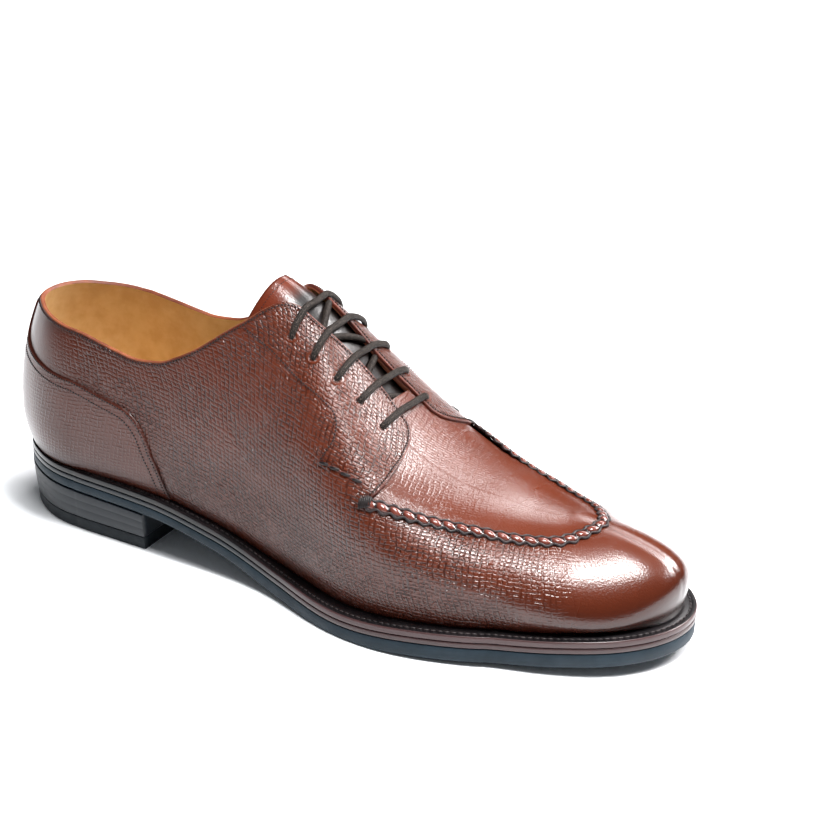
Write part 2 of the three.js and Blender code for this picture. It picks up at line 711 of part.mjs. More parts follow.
// Keeps what lies behind the heel breast
function cutAtBreast(solid) {
  const keep = new THREE.BoxGeometry(heelLength * 2, jointWidth * 2, instepRise);
  return solid.intersect(solidOf(keep));
}

const heelTopDepth = (x) => outsoleDepth(x) + seam;
const heelBottom = topLiftThick + seam;
const flat = (height) => () => height;

const makeHeelStack = () => cutAtBreast(makeLayer([
  edgeRing(-heelTaper * 0.65, flat(heelBottom)),
  edgeRing(-heelTaper * 0.3, (x) => (heelBottom + featherHeight(x) - heelTopDepth(x)) / 2),
  edgeRing(0, (x) => Math.max(featherHeight(x) - heelTopDepth(x), heelBottom + 1)),
]));

const makeTopLift = () => cutAtBreast(makeLayer([
  edgeRing(-heelTaper - edgeRound, flat(0)),
  edgeRing(-heelTaper, flat(edgeRound)),
  edgeRing(-heelTaper * 0.7, flat(topLiftThick)),
]));

// A lace bar: out of one hole, straight across and down into the other
function makeBar({ row, girth }) {
  const lift = cordRadius + 1.5 * seam;
  const half = (side) => {
    const edge = topLines[side](row);
    return [
      skinPoint(row, side, girth, -1),
      skinPoint(row, side, girth, 1),
      skinPoint(row, side, girth + 0.018, lift + seam),
      skinPoint(row, side, girth + (edge - girth) * 0.5, lift),
      skinPoint(row, side, edge, lift),
    ];
  };
  const route = [...half('outer'), ...half('inner').reverse()];
  const curve = new THREE.CatmullRomCurve3(route, false, 'centripetal');
  const round = new THREE.Shape();
  const sides = 6;
  for (let i = 0; i < sides; i += 1) {
    const angle = (2 * Math.PI * i) / sides;
    const [a, b] = [cordRadius * Math.cos(angle), cordRadius * Math.sin(angle)];
    if (i === 0) round.moveTo(a, b);
    else round.lineTo(a, b);
  }
  round.closePath();
  return solidOf(new THREE.ExtrudeGeometry(round, { steps: 12, extrudePath: curve, bevelEnabled: false }));
}

const shoe = new THREE.Group();

function addPiece(name, solid, color, roughness) {
  const material = new THREE.MeshStandardMaterial({ color, roughness, metalness: 0 });
  const mesh = new THREE.Mesh(geometryOf(solid), material);
  mesh.name = name;
  shoe.add(mesh);
}

addPiece('outsole', makeOutsole(), '#2e3c45', 0.5);
addPiece('midsole', makeMidsole(), '#43332f', 0.4);
addPiece('welt', makeWelt(), '#1c1614', 0.45);
addPiece('heel_stack', makeHeelStack(), '#3b3f44', 0.4);
addPiece('top_lift', makeTopLift(), '#20292d', 0.6);
addPiece('insole', makeInsole(), '#b98a4e', 0.6);
addPiece('upper', makeUpper(), '#6f3324', 0.35);
addPiece('heel_counter', makeCounterPiece(), '#63301f', 0.3);
addPiece('tongue', makeTongue(), '#6b3022', 0.4);
EYELETS.forEach((eyelet, i) => addPiece(`lace_bar_${i + 1}`, makeBar(eyelet), '#38302b', 0.7));

const bounds = new THREE.Box3().setFromObject(shoe);
const centre = bounds.getCenter(new THREE.Vector3());
shoe.position.set(-centre.x, -centre.y, -bounds.min.z);

export default shoe;
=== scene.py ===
import math

import bmesh
import bpy
import numpy as np
from mathutils import Matrix, Vector


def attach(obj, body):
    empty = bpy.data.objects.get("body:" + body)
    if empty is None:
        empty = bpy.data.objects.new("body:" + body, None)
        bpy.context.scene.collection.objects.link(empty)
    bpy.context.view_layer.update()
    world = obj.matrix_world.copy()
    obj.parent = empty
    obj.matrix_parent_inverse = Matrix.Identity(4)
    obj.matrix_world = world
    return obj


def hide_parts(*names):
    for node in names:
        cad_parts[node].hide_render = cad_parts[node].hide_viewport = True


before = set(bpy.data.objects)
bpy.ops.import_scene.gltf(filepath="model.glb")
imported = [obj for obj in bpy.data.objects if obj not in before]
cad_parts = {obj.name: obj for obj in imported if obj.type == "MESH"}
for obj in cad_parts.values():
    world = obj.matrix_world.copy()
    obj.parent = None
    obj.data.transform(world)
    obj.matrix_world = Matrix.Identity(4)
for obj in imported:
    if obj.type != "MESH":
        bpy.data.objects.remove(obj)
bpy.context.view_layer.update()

# Sizes of the last and the sole in millimetres, as in the part's source
MM = 0.001
LAST_ORIGIN = np.array((-153.094, 1.291, 0.0))
SOLE_LENGTH = 308.0
JOINT_WIDTH = 103.0
INSTEP_RISE = 98.5
HEEL_RISE = 18.5
TOE_SPRING = 5.9
JOINT_RISE = 10.5
WELT_SHELF = 6.6
WELT_THICK = 2.5
MIDSOLE_THICK = 2.1
OUTSOLE_THICK = 5.9
OUTSOLE_SEAT_THICK = 4.3
TOP_LIFT_THICK = 5.7
HEEL_LENGTH = 80.0
HEEL_TAPER = 1.8
INSOLE_THICK = 3.0
UPPER_WALL = 2.0
SKIN_THICK = 1.5
VAMP_STEP = 1.6
COUNTER_LIFT = 0.9
TONGUE_THICK = 1.8
TONGUE_GAP = 1.1
SEAM = 0.3
CORD_RADIUS = 1.42
CORD_FLAT = 0.8
LAST_ROW = 11
TOE_RIDGE_SLOPE = -0.1
TOE_BLEND = 16.0
CORE_RISE = 12.0
ROW_LENGTH = 28.0
GIRTH_LENGTH = 90.0

# Sections of the last from heel (row 0) to toe (row 11)
SECTION_COLUMNS = ("x", "angle", "outer", "inner", "belly", "tuck", "ridge", "side", "crown",
                   "outer_shelf", "inner_shelf")
SECTIONS = (
    (0.135, 180, 0.414, 0.414, 0.177, 0.035, 0.972, 0.56, 0.47, 0.22, 0.22),
    (0.135, 135, 0.358, 0.358, 0.175, 0.036, 0.972, 0.55, 0.47, 0.27, 0.27),
    (0.142, 90, 0.333, 0.335, 0.183, 0.032, 0.972, 0.56, 0.47, 0.42, 0.42),
    (0.252, 90, 0.334, 0.331, 0.193, 0.031, 1.019, 0.52, 0.45, 0.64, 0.52),
    (0.369, 90, 0.346, 0.326, 0.216, 0.028, 1.073, 0.50, 0.46, 0.67, 0.48),
    (0.479, 90, 0.392, 0.365, 0.256, 0.036, 1.001, 0.55, 0.52, 0.89, 0.73),
    (0.586, 90, 0.496, 0.446, 0.270, 0.034, 0.695, 0.69, 0.64, 1.12, 1.00),
    (0.690, 90, 0.527, 0.471, 0.208, 0.034, 0.443, 0.66, 0.63, 1.09, 1.00),
    (0.784, 90, 0.464, 0.423, 0.137, 0.034, 0.357, 0.59, 0.55, 0.94, 0.91),
    (0.829, 70, 0.404, 0.386, 0.061, 0.031, 0.335, 0.47, 0.47, 0.95, 0.95),
    (0.836, 35, 0.416, 0.400, 0.056, 0.024, 0.335, 0.46, 0.49, 0.94, 0.94),
    (0.836, 0, 0.453, 0.453, 0.127, 0.015, 0.335, 0.58, 0.59, 0.82, 0.82),
)
BELLY_SHARE = 0.3
FIRST_SIDE_ROW = 2
FIRST_TOE_ROW = 9

# Feather line: x, share of the heel rise, share of the toe spring
GROUND = ((0.000, 1.00, 0.00), (0.148, 0.94, 0.00), (0.271, 0.855, 0.00), (0.375, 0.56, 0.00),
          (0.489, 0.12, 0.00), (0.602, 0.00, 0.00), (0.706, 0.00, 0.27), (0.813, 0.00, 0.46),
          (0.910, 0.00, 0.80), (1.010, 0.00, 1.00))
# Middle line: x, y
MIDDLE = ((0.00, 0), (0.27, 0), (0.48, 0.006), (0.67, 0.020), (0.84, 0.040), (1.00, 0.058))

# Lines on the last: row, then girth from 0 at the feather line to 1 at the ridge
TOP_LINE = (  # row, outer, inner
    (0.00, 0.592, 0.592), (0.60, 0.592, 0.596), (1.10, 0.582, 0.588), (1.40, 0.5725, 0.580),
    (1.70, 0.5625, 0.571), (1.85, 0.560, 0.569), (2.10, 0.5575, 0.5665), (2.25, 0.5535, 0.563),
    (2.50, 0.540, 0.551), (2.72, 0.527, 0.538), (2.93, 0.5185, 0.529), (3.23, 0.524, 0.534),
    (3.48, 0.550, 0.556), (3.73, 0.590, 0.592),
    (4.00, 0.648, 0.648), (4.25, 0.708, 0.712), (4.45, 0.776, 0.790), (4.65, 0.848, 0.858),
    (4.82, 0.878, 0.900), (5.00, 0.886, 0.925), (5.25, 0.908, 0.935), (5.50, 0.938, 0.935),
    (5.80, 0.962, 0.915), (6.05, 0.966, 0.890), (6.30, 0.956, 0.886), (6.60, 0.950, 0.886))
FACING_FRONT = (  # share from the corner to the slit, row
    (0.00, 6.34), (0.05, 6.36), (0.20, 6.42), (0.40, 6.455), (0.62, 6.45), (0.82, 6.40),
    (0.93, 6.34), (1.00, 6.24))
APRON = (  # row, girth
    (6.30, 0.530), (6.60, 0.590), (6.90, 0.640), (7.25, 0.683), (7.60, 0.712), (8.05, 0.727),
    (8.50, 0.756), (9.10, 0.808), (9.80, 0.862), (10.60, 0.896), (11.00, 0.904))
COUNTER = (  # row, girth
    (0.00, 0.575), (0.36, 0.572), (0.52, 0.500), (0.80, 0.474), (1.25, 0.452), (1.60, 0.437),
    (1.80, 0.4325), (2.10, 0.4295), (2.30, 0.4235), (2.60, 0.407), (2.85, 0.392), (3.05, 0.362),
    (3.18, 0.320), (3.28, 0.240), (3.36, 0.125), (3.42, 0.010))
FACING_REAR = (  # stitch line behind the facing: row, girth
    (4.25, 0.690), (4.70, 0.678), (5.10, 0.668), (5.47, 0.688), (5.62, 0.698), (5.73, 0.672),
    (5.755, 0.620), (5.71, 0.560), (5.66, 0.515))
HAND_ROW = ((5.66, 0.515), (5.95, 0.556), (6.25, 0.600))  # row, girth
EYELETS = (  # row, girth
    (4.87, 0.762), (5.19, 0.768), (5.51, 0.796), (5.80, 0.830), (6.10, 0.850))
CORNER_ROW = 6.34
SPLIT_GIRTH = 0.30
TOE_SEAM_AT = -10.88
COLLAR_END_ROW = 4.5
LINING_END_ROW = 6.05
TONGUE_TOP_ROW = 4.4
TONGUE_EDGE_ROW = 4.2
TONGUE_END_ROW = 6.8
TONGUE_EDGE_GIRTH = 0.70

# Threads in millimetres
STITCH_PITCH = 1.35
STITCH_LENGTH = 0.84
STITCH_RADIUS = 0.35
STITCH_RISE = 0.18
STITCH_GROOVE = 0.24
EDGE_STITCH = 1.15
COUNTER_STITCHES = (1.2, 4.6)
HAND_PITCH = 4.1
HAND_LENGTH = 4.5
HAND_RADIUS = 0.68
KNOT_LENGTH = 4.6
KNOT_RADIUS = 0.62
TONGUE_PITCH = 1.3
TONGUE_STITCH = (0.85, 0.21)
WELT_GROOVE = 2.5
WELT_PITCH = 2.6
WELT_STITCH = (2.1, 0.42)

# Apron seam in millimetres: a rolled ridge pinched by the hand stitches, with a cord on each side
APRON_PITCH = 5.2
APRON_HALF = 1.85
APRON_RISE = 1.6
APRON_SLANT = 0.9
APRON_CORD = 0.56
APRON_TIE = (3.6, 0.44)

# Soft relief of the leather: row, width in rows, depth in millimetres, lean in rows
CREASES = ((6.72, 0.16, -0.22, 0.9), (7.05, 0.14, 0.18, 0.8), (7.35, 0.16, -0.18, 0.7),
           (5.30, 0.22, -0.20, -0.5), (4.85, 0.22, 0.15, -0.6))
PLUG_CREASES = ((6.95, 0.20, -0.30, 0.25), (7.45, 0.22, 0.20, 0.2), (7.95, 0.25, -0.15, 0.1))
TOE_SWELL = 0.10
TOE_VALLEY = 0.09
APRON_VALLEY = 0.35

# Grain of the leather in millimetres, and its bump in metres
HATCH_UP = 1.65
HATCH_ALONG = 2.05
HATCH_DEPTH = 0.00040
PORE_DEPTH = 0.00004
FINE_DEPTH = 0.00003

# Camera at the photo's angle, in millimetres, degrees and the photo's pixels
CAMERA = {"azimuth": 27.234, "elevation": 22.946, "roll": 1.838, "distance": 700.0,
          "focal_px": 1706.9, "aside": 30.35, "above": 23.97, "frame_px": 832.0, "sensor": 36.0}
AIM = LAST_ORIGIN + np.array((155.7, 0.0, 40.0))

# Area lights: name, place, aim, size, power, colour
BOXES = (
    ("toe_box", (0.32, -0.06, 1.30), (0.10, 0, 0.04), (0.22, 0.40), 19.0, (1.0, 1.0, 1.0)),
    ("rear_right_box", (0.82, 0.80, 0.98), (0.02, 0, 0.06), (0.8, 0.32), 27.0, (1.0, 0.97, 0.97)),
    ("rear_left_box", (0.12, 1.10, 0.98), (0.02, 0, 0.06), (0.8, 0.30), 7.0, (1.0, 0.97, 0.97)),
)
SUN_TOWARD = (0.22, -0.08, 0.97)
SUN_STRENGTH = 2.6
SUN_SPREAD = 24
SKY_COLOR = (0.94, 0.96, 1.0, 1.0)
SKY_STRENGTH = 0.26
FLOOR_HALF = 6

# Fields on the meshes that the materials read: burnish_and_painted_shade darkens, as burnish and as
# painted shade, hatch is the strength of the hatch grain and shine smooths
FIELDS = ("burnish_and_painted_shade", "hatch", "shine")


def hermite(xs, ys, slopes):
    """Curve through points with the given slopes, held level outside them."""
    def at(x):
        x = np.clip(x, xs[0], xs[-1])
        i = np.clip(np.searchsorted(xs, x, side="right") - 1, 0, len(xs) - 2)
        step = xs[i + 1] - xs[i]
        t = (x - xs[i]) / step
        bend = ys[i] * (1 + 2 * t) * (1 - t) ** 2 + ys[i + 1] * t * t * (3 - 2 * t)
        return bend + step * (slopes[i] * t * (1 - t) ** 2 - slopes[i + 1] * t * t * (1 - t))
    return at


def smooth_line(xs, ys):
    """Line through points that never overshoots them."""
    xs = np.asarray(xs, float)
    ys = np.asarray(ys, float)
    step = np.diff(xs)
    rise = np.diff(ys) / step

    def end(h0, h1, r0, r1):
        slope = ((2 * h0 + h1) * r0 - h0 * r1) / (h0 + h1)
        if slope * r0 <= 0:
            return 0.0
        if r0 * r1 <= 0 and abs(slope) > 3 * abs(r0):
            return 3 * r0
        return slope
    slopes = np.zeros(len(xs))
    slopes[0] = end(step[0], step[1], rise[0], rise[1])
    slopes[-1] = end(step[-1], step[-2], rise[-1], rise[-2])
    for i in range(1, len(xs) - 1):
        if rise[i - 1] * rise[i] > 0:
            before = 2 * step[i] + step[i - 1]
            after = step[i] + 2 * step[i - 1]
            slopes[i] = (before + after) / (before / rise[i - 1] + after / rise[i])
    return hermite(xs, ys, slopes)


def round_line(ys):
    """Line through evenly spaced points with no kinks in its bend, level at both ends."""
    ys = np.asarray(ys, float)
    last_i = len(ys) - 1
    share = np.zeros(last_i + 1)
    rest = np.zeros(last_i + 1)
    slopes = np.zeros(last_i + 1)
    for i in range(1, last_i):
        pull = 4 - share[i - 1]
        share[i] = 1 / pull
        rest[i] = (3 * (ys[i + 1] - ys[i - 1]) - rest[i - 1]) / pull
    for i in range(last_i - 1, 0, -1):
        slopes[i] = rest[i] - share[i] * slopes[i + 1]
    return hermite(np.arange(last_i + 1.0), ys, slopes)


def column(table, i):
    return [line[i] for line in table]


def table_line(table, i=1):
    return smooth_line(column(table, 0), column(table, i))


def smoothstep(x, low, high):
    t = np.clip((x - low) / (high - low), 0, 1)
    return t * t * (3 - 2 * t)


rows = np.arange(len(SECTIONS), dtype=float)
line_of = {}
for index, name in enumerate(SECTION_COLUMNS):
    values = column(SECTIONS, index)
    line_of[name] = smooth_line(rows, values) if name in ("x", "angle") else round_line(values)
side_sections = SECTIONS[FIRST_SIDE_ROW:FIRST_TOE_ROW + 1]
ridge_shares = column(side_sections, SECTION_COLUMNS.index("ridge"))
ridge_curve = round_line(ridge_shares)
heel_share = table_line(GROUND, 1)
toe_share = table_line(GROUND, 2)
middle_share = table_line(MIDDLE)


def feather_height(x):
    return JOINT_RISE + HEEL_RISE * heel_share(x / SOLE_LENGTH) + TOE_SPRING * toe_share(x / SOLE_LENGTH)


ridge_x = np.array(column(side_sections, 0)) * SOLE_LENGTH
ridge_height = smooth_line(ridge_x, feather_height(ridge_x) + np.array(ridge_shares) * INSTEP_RISE)


def ridge_slope(x):
    slope = ridge_height(x + 0.5) - ridge_height(x - 0.5)
    toe = smoothstep(x, ridge_x[-1] - TOE_BLEND, ridge_x[-1])
    return np.where(x < ridge_x[0], 0, slope * (1 - toe) + TOE_RIDGE_SLOPE * toe)


def wrap(s, g):
    """Folds a place that ran over the ridge, the heel's middle or the toe's middle."""
    s, g = np.broadcast_arrays(np.asarray(s, float), np.asarray(g, float))
    over = g > 1
    s = np.where(over, -s, s)
    g = np.where(over, 2 - g, g)
    s = (s + LAST_ROW) % (2 * LAST_ROW) - LAST_ROW
    return s, g


def last(s, g):
    """Point of the upper's outside in millimetres, s being minus the row on the outer side and
    plus the row on the inner side, and g the girth."""
    s, g = wrap(s, g)
    row = np.abs(s)
    x = line_of["x"](row) * SOLE_LENGTH
    angle = np.radians(line_of["angle"](row))
    ahead = np.cos(angle)
    aside = np.sign(s) * np.sin(angle)
    width = np.where(s < 0, line_of["outer"](row), line_of["inner"](row)) * JOINT_WIDTH
    tuck = line_of["tuck"](row) * JOINT_WIDTH
    belly = line_of["belly"](row) * INSTEP_RISE
    crown = line_of["crown"](row)
    ridge = feather_height(x) + ridge_curve(row - FIRST_SIDE_ROW) * INSTEP_RISE
    base = feather_height(x + ahead * (width - tuck)) + SEAM
    low_t = g / BELLY_SHARE
    low_reach = width - tuck * (1 - low_t) ** 2
    low_height = base + belly * low_t
    t = np.clip((g - BELLY_SHARE) / (1 - BELLY_SHARE), 0, 1)
    low = base + belly
    top = ridge + ridge_slope(x) * ahead * crown * width
    w0 = (1 - t) ** 3
    w1 = 3 * (1 - t) ** 2 * t
    w2 = 3 * (1 - t) * t * t
    high_reach = width * (w0 + w1 + w2 * crown)
    high_height = low * w0 + (low + line_of["side"](row) * (ridge - low)) * w1 + top * w2 + ridge * t ** 3
    reach = np.where(g < BELLY_SHARE, low_reach, high_reach)
    height = np.where(g < BELLY_SHARE, low_height, high_height)
    y = JOINT_WIDTH * middle_share(x / SOLE_LENGTH) + aside * reach
    return np.stack((x + ahead * reach, y, height), -1) + LAST_ORIGIN


def unit(v):
    return v / np.maximum(np.linalg.norm(v, axis=-1, keepdims=True), 1e-9)


def normal(s, g):
    small = 0.004
    s, g = np.broadcast_arrays(np.asarray(s, float), np.asarray(g, float))
    along = last(s + small, g) - last(s - small, g)
    up = last(s, g + small) - last(s, g - small)
    n = unit(np.cross(along, up))
    row = np.abs(wrap(s, g)[0])
    x = line_of["x"](row) * SOLE_LENGTH
    core = np.stack((x, JOINT_WIDTH * middle_share(x / SOLE_LENGTH), feather_height(x) + CORE_RISE), -1)
    out = last(s, g) - (core + LAST_ORIGIN)
    n = n * np.where(np.sum(n * out, -1, keepdims=True) < 0, -1, 1)
    crest = np.stack((-ridge_slope(x), np.zeros_like(x), np.ones_like(x)), -1)
    mix = (smoothstep(g, 0.95, 0.995) * smoothstep(row, 8.4, 9.2))[..., None]
    return unit(n * (1 - mix) + unit(crest) * mix)


def skin(s, g, lift):
    return last(s, g) + normal(s, g) * np.asarray(lift)[..., None]


def on_last(places):
    return last(places[:, 0], places[:, 1])


def run_along(points):
    """Length along a line of points up to each of them."""
    return np.concatenate(((0,), np.cumsum(np.linalg.norm(np.diff(points, axis=0), axis=1))))


def at_lengths(lengths, run, points):
    """Points at the given lengths along a line."""
    return np.stack([np.interp(lengths, run, points[:, k]) for k in range(3)], -1)


top_outer = table_line(TOP_LINE, 1)
top_inner = table_line(TOP_LINE, 2)
apron_girth = table_line(APRON)
counter_girth = table_line(COUNTER)
front_row = table_line(FACING_FRONT)


def top_girth(s):
    return np.where(s < 0, top_outer(np.abs(s)), top_inner(np.abs(s)))


def wall_at(row, g):
    start = smoothstep(row, 5.3, 6.0)
    end = smoothstep(row, 6.6, 7.4)
    return UPPER_WALL + VAMP_STEP * start * (1 - end) * smoothstep(g, 0.3, 0.5)


def dense(places, count=400):
    """A line of places filled in evenly along its length on the last, by smooth steps."""
    places = np.asarray(places, float)
    steps = run_along(places * (ROW_LENGTH, GIRTH_LENGTH))
    fine = np.linspace(0, steps[-1], count)
    return np.stack([smooth_line(steps, places[:, k])(fine) for k in range(2)], -1)


def resample(places, spacing, lift=0.0):
    """Evenly spaced points, directions and normals along a line of places."""
    points = skin(places[:, 0], places[:, 1], np.full(len(places), lift))
    run = run_along(points)
    count = max(int(run[-1] / spacing), 2)
    at = np.linspace(0, run[-1], count + 1)
    s = np.interp(at, run, places[:, 0])
    g = np.interp(at, run, places[:, 1])
    centre = skin(s, g, np.full(len(s), lift))
    ahead = unit(np.gradient(centre, axis=0))
    return centre, ahead, normal(s, g), s, g


def distance_to(points, line):
    """Distance of each point from a line given as points."""
    flat = points.reshape(-1, 3)
    best = np.full(len(flat), 1e9)
    for start in range(0, len(line), 64):
        part = line[start:start + 64]
        gap = np.linalg.norm(flat[:, None, :] - part[None, :, :], axis=2).min(1)
        best = np.minimum(best, gap)
    return best.reshape(points.shape[:-1])


def shift_line(places, away):
    """A line of places moved sideways on the last by a distance."""
    centre, ahead, up, s, g = resample(places, 1.0)
    side = unit(np.cross(up, ahead))
    ds = 0.01
    per_s = (last(s + ds, g) - last(s - ds, g)) / (2 * ds)
    per_g = (last(s, g + ds) - last(s, g - ds)) / (2 * ds)
    a = np.sum(per_s * per_s, -1)
    b = np.sum(per_s * per_g, -1)
    c = np.sum(per_g * per_g, -1)
    p = np.sum(per_s * side, -1) * away
    q = np.sum(per_g * side, -1) * away
    det = a * c - b * b
    return np.stack((s + (p * c - q * b) / det, g + (q * a - p * b) / det), -1)


class Piece:
    """Gathers grids, tubes and stitches into one mesh object."""

    def __init__(self, name):
        self.name = name
        self.points = []
        self.faces = []
        self.uvs = []
        self.kinds = []
        self.fields = {key: [] for key in FIELDS}
        self.count = 0
        self.materials = []

    def add(self, points, faces, material, uv=None, fields=None):
        points = np.asarray(points, float).reshape(-1, 3)
        if material not in self.materials:
            self.materials.append(material)
        kind = self.materials.index(material)
        for face in faces:
            self.faces.append(tuple(int(i) + self.count for i in face))
        self.kinds.extend([kind] * len(faces))
        uv = np.zeros((len(points), 2)) if uv is None else uv
        self.uvs.append(np.asarray(uv, float).reshape(-1, 2))
        for key in FIELDS:
            given = np.asarray((fields or {}).get(key, 0.0), float)
            self.fields[key].append(np.broadcast_to(given.reshape(-1), (len(points),)))
        self.points.append(points)
        self.count += len(points)

    def grid(self, points, material, uv=None, fields=None, flip=False, ring=False):
        n, m = points.shape[:2]
        i, j = np.meshgrid(np.arange(n - 1), np.arange(m if ring else m - 1), indexing="ij")
        k = (j + 1) % m
        quads = np.stack((i * m + j, (i + 1) * m + j, (i + 1) * m + k, i * m + k), -1).reshape(-1, 4)
        if flip:
            quads = quads[:, ::-1]
        self.add(points, quads, material, uv, fields)

    def tube(self, path, up, radius, material, sides=8, flat=1.0):
        ahead = unit(np.gradient(path, axis=0))
        side = unit(np.cross(ahead, up))
        rise = np.cross(side, ahead)
        radius = np.broadcast_to(radius, (len(path),))
        turn = np.linspace(0, 2 * math.pi, sides, endpoint=False)
        ring = (side[:, None] * np.cos(turn)[None, :, None]
                + rise[:, None] * np.sin(turn)[None, :, None] * flat)
        points = path[:, None] + ring * radius[:, None, None]
        run = run_along(path)
        uv = np.stack(np.broadcast_arrays(run[:, None], (turn * np.mean(radius))[None, :]), -1)
        start = self.count
        self.grid(points, material, uv, ring=True)
        count = len(path)
        self.faces.append(tuple(start + i for i in range(sides)))
        self.faces.append(tuple(start + (count - 1) * sides + i for i in reversed(range(sides))))
        self.kinds.extend([self.materials.index(material)] * 2)

    def stitches(self, centre, ahead, up, length, radius, material):
        side = unit(np.cross(ahead, up))
        rise = np.cross(side, ahead)
        shape = [(-0.5, 0.0, 0.0)]
        for along, share in ((-0.36, 0.8), (0.0, 1.0), (0.36, 0.8)):
            for k in range(6):
                turn = k * math.pi / 3
                shape.append((along, share * math.cos(turn), share * math.sin(turn)))
        shape.append((0.5, 0.0, 0.0))
        shape = np.array(shape) * (length, radius, radius)
        points = (centre[:, None] + ahead[:, None] * shape[None, :, :1]
                  + side[:, None] * shape[None, :, 1:2] + rise[:, None] * shape[None, :, 2:])
        faces = []
        for k in range(6):
            n = (k + 1) % 6
            faces.append((0, 1 + n, 1 + k))
            faces.append((19, 13 + k, 13 + n))
            faces.append((1 + k, 1 + n, 7 + n, 7 + k))
            faces.append((7 + k, 7 + n, 13 + n, 13 + k))
        every = [tuple(i + c * 20 for i in face) for c in range(len(centre)) for face in faces]
        self.add(points, every, material)

    def make(self, slot, *nodes, weld=0.0):
        mesh = bpy.data.meshes.new(self.name)
        points = np.concatenate(self.points) * MM
        mesh.from_pydata(points.tolist(), [], self.faces)
        for material in self.materials:
            mesh.materials.append(material)
        mesh.polygons.foreach_set("material_index", self.kinds)
        mesh.polygons.foreach_set("use_smooth", [True] * len(self.faces))
        corners = np.zeros(len(mesh.loops), int)
        mesh.loops.foreach_get("vertex_index", corners)
        layer = mesh.uv_layers.new(name="UVMap")
        layer.data.foreach_set("uv", np.concatenate(self.uvs)[corners].astype(np.float32).ravel())
        for key in FIELDS:
            field = mesh.attributes.new(key, "FLOAT", "POINT")
            field.data.foreach_set("value", np.concatenate(self.fields[key]).astype(np.float32))
        mesh.update()
        obj = bpy.data.objects.new(self.name, mesh)
        bpy.context.scene.collection.objects.link(obj)
        if weld:
            work = bmesh.new()
            work.from_mesh(mesh)
            bmesh.ops.remove_doubles(work, verts=work.verts, dist=weld * MM)
            work.to_mesh(mesh)
            work.free()
        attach(obj, "root")
        if nodes:
            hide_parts(*nodes)
        return obj


class Shader:
    """A small helper round a material's node tree."""

    def __init__(self, name):
        self.material = bpy.data.materials.new(name)
        self.material.use_nodes = True
        self.tree = self.material.node_tree
        self.bsdf = self.tree.nodes["Principled BSDF"]

    def node(self, kind, settings=None, **inputs):
        made = self.tree.nodes.new(kind)
        for key, value in (settings or {}).items():
            setattr(made, key, value)
        for key, value in inputs.items():
            target = made.inputs[int(key[1:]) if key[1:].isdigit() else key]
            if isinstance(value, bpy.types.NodeSocket):
                self.tree.links.new(value, target)
            else:
                target.default_value = value
        return made

    def math(self, operation, a, b=0.0, c=0.0):
        return self.node("ShaderNodeMath", {"operation": operation}, i0=a, i1=b, i2=c).outputs[0]

    def mix(self, share, a, b):
        return self.node("ShaderNodeMix", {"data_type": "RGBA"}, i0=share, i6=a, i7=b).outputs[2]

    def ramp(self, value, low, high, to_low=0.0, to_high=1.0):
        settings = {"interpolation_type": "SMOOTHSTEP"}
        made = self.node("ShaderNodeMapRange", settings, i0=value, i1=low, i2=high, i3=to_low, i4=to_high)
        return made.outputs[0]

    def field(self, name):
        return self.node("ShaderNodeAttribute", {"attribute_name": name}).outputs["Fac"]

    def noise(self, where, scale, detail=2.0, rough=0.5):
        inputs = {"Vector": where, "Scale": scale, "Detail": detail, "Roughness": rough}
        return self.node("ShaderNodeTexNoise", **inputs).outputs["Fac"]

    def place(self, kind="UV"):
        return self.node("ShaderNodeTexCoord").outputs[kind]

    def turned(self, where, angle):
        return self.node("ShaderNodeMapping", Vector=where, Rotation=(0, 0, angle)).outputs[0]

    def bands(self, where, period, distortion, direction="X"):
        """Bands across a direction, in the length unit of where."""
        settings = {"wave_type": "BANDS", "bands_direction": direction}
        inputs = {"Vector": where, "Scale": 2 * math.pi / (20 * period), "Distortion": distortion,
                  "Detail": 2.0, "Detail Scale": 0.9}
        return self.node("ShaderNodeTexWave", settings, **inputs).outputs["Fac"]

    def bump(self, height, distance, before=None):
        made = self.node("ShaderNodeBump", Height=height, Distance=distance)
        if before is not None:
            self.tree.links.new(before, made.inputs["Normal"])
        return made.outputs[0]

    def finish(self, color, roughness, bump=None, coat=0.0, coat_rough=0.1, specular=0.5):
        for key, value in (("Base Color", color), ("Roughness", roughness)):
            if isinstance(value, bpy.types.NodeSocket):
                self.tree.links.new(value, self.bsdf.inputs[key])
            else:
                self.bsdf.inputs[key].default_value = value
        if bump is not None:
            self.tree.links.new(bump, self.bsdf.inputs["Normal"])
            if coat:
                self.tree.links.new(bump, self.bsdf.inputs["Coat Normal"])
        self.bsdf.inputs["Coat Weight"].default_value = coat
        self.bsdf.inputs["Coat Roughness"].default_value = coat_rough
        self.bsdf.inputs["Specular IOR Level"].default_value = specular
        return self.material


def shade(red, green, blue):
    """A colour given as seen, turned into light values."""
    seen = np.array((red, green, blue), float) / 255
    return (*np.where(seen < 0.04045, seen / 12.92, ((seen + 0.055) / 1.055) ** 2.4).tolist(), 1.0)


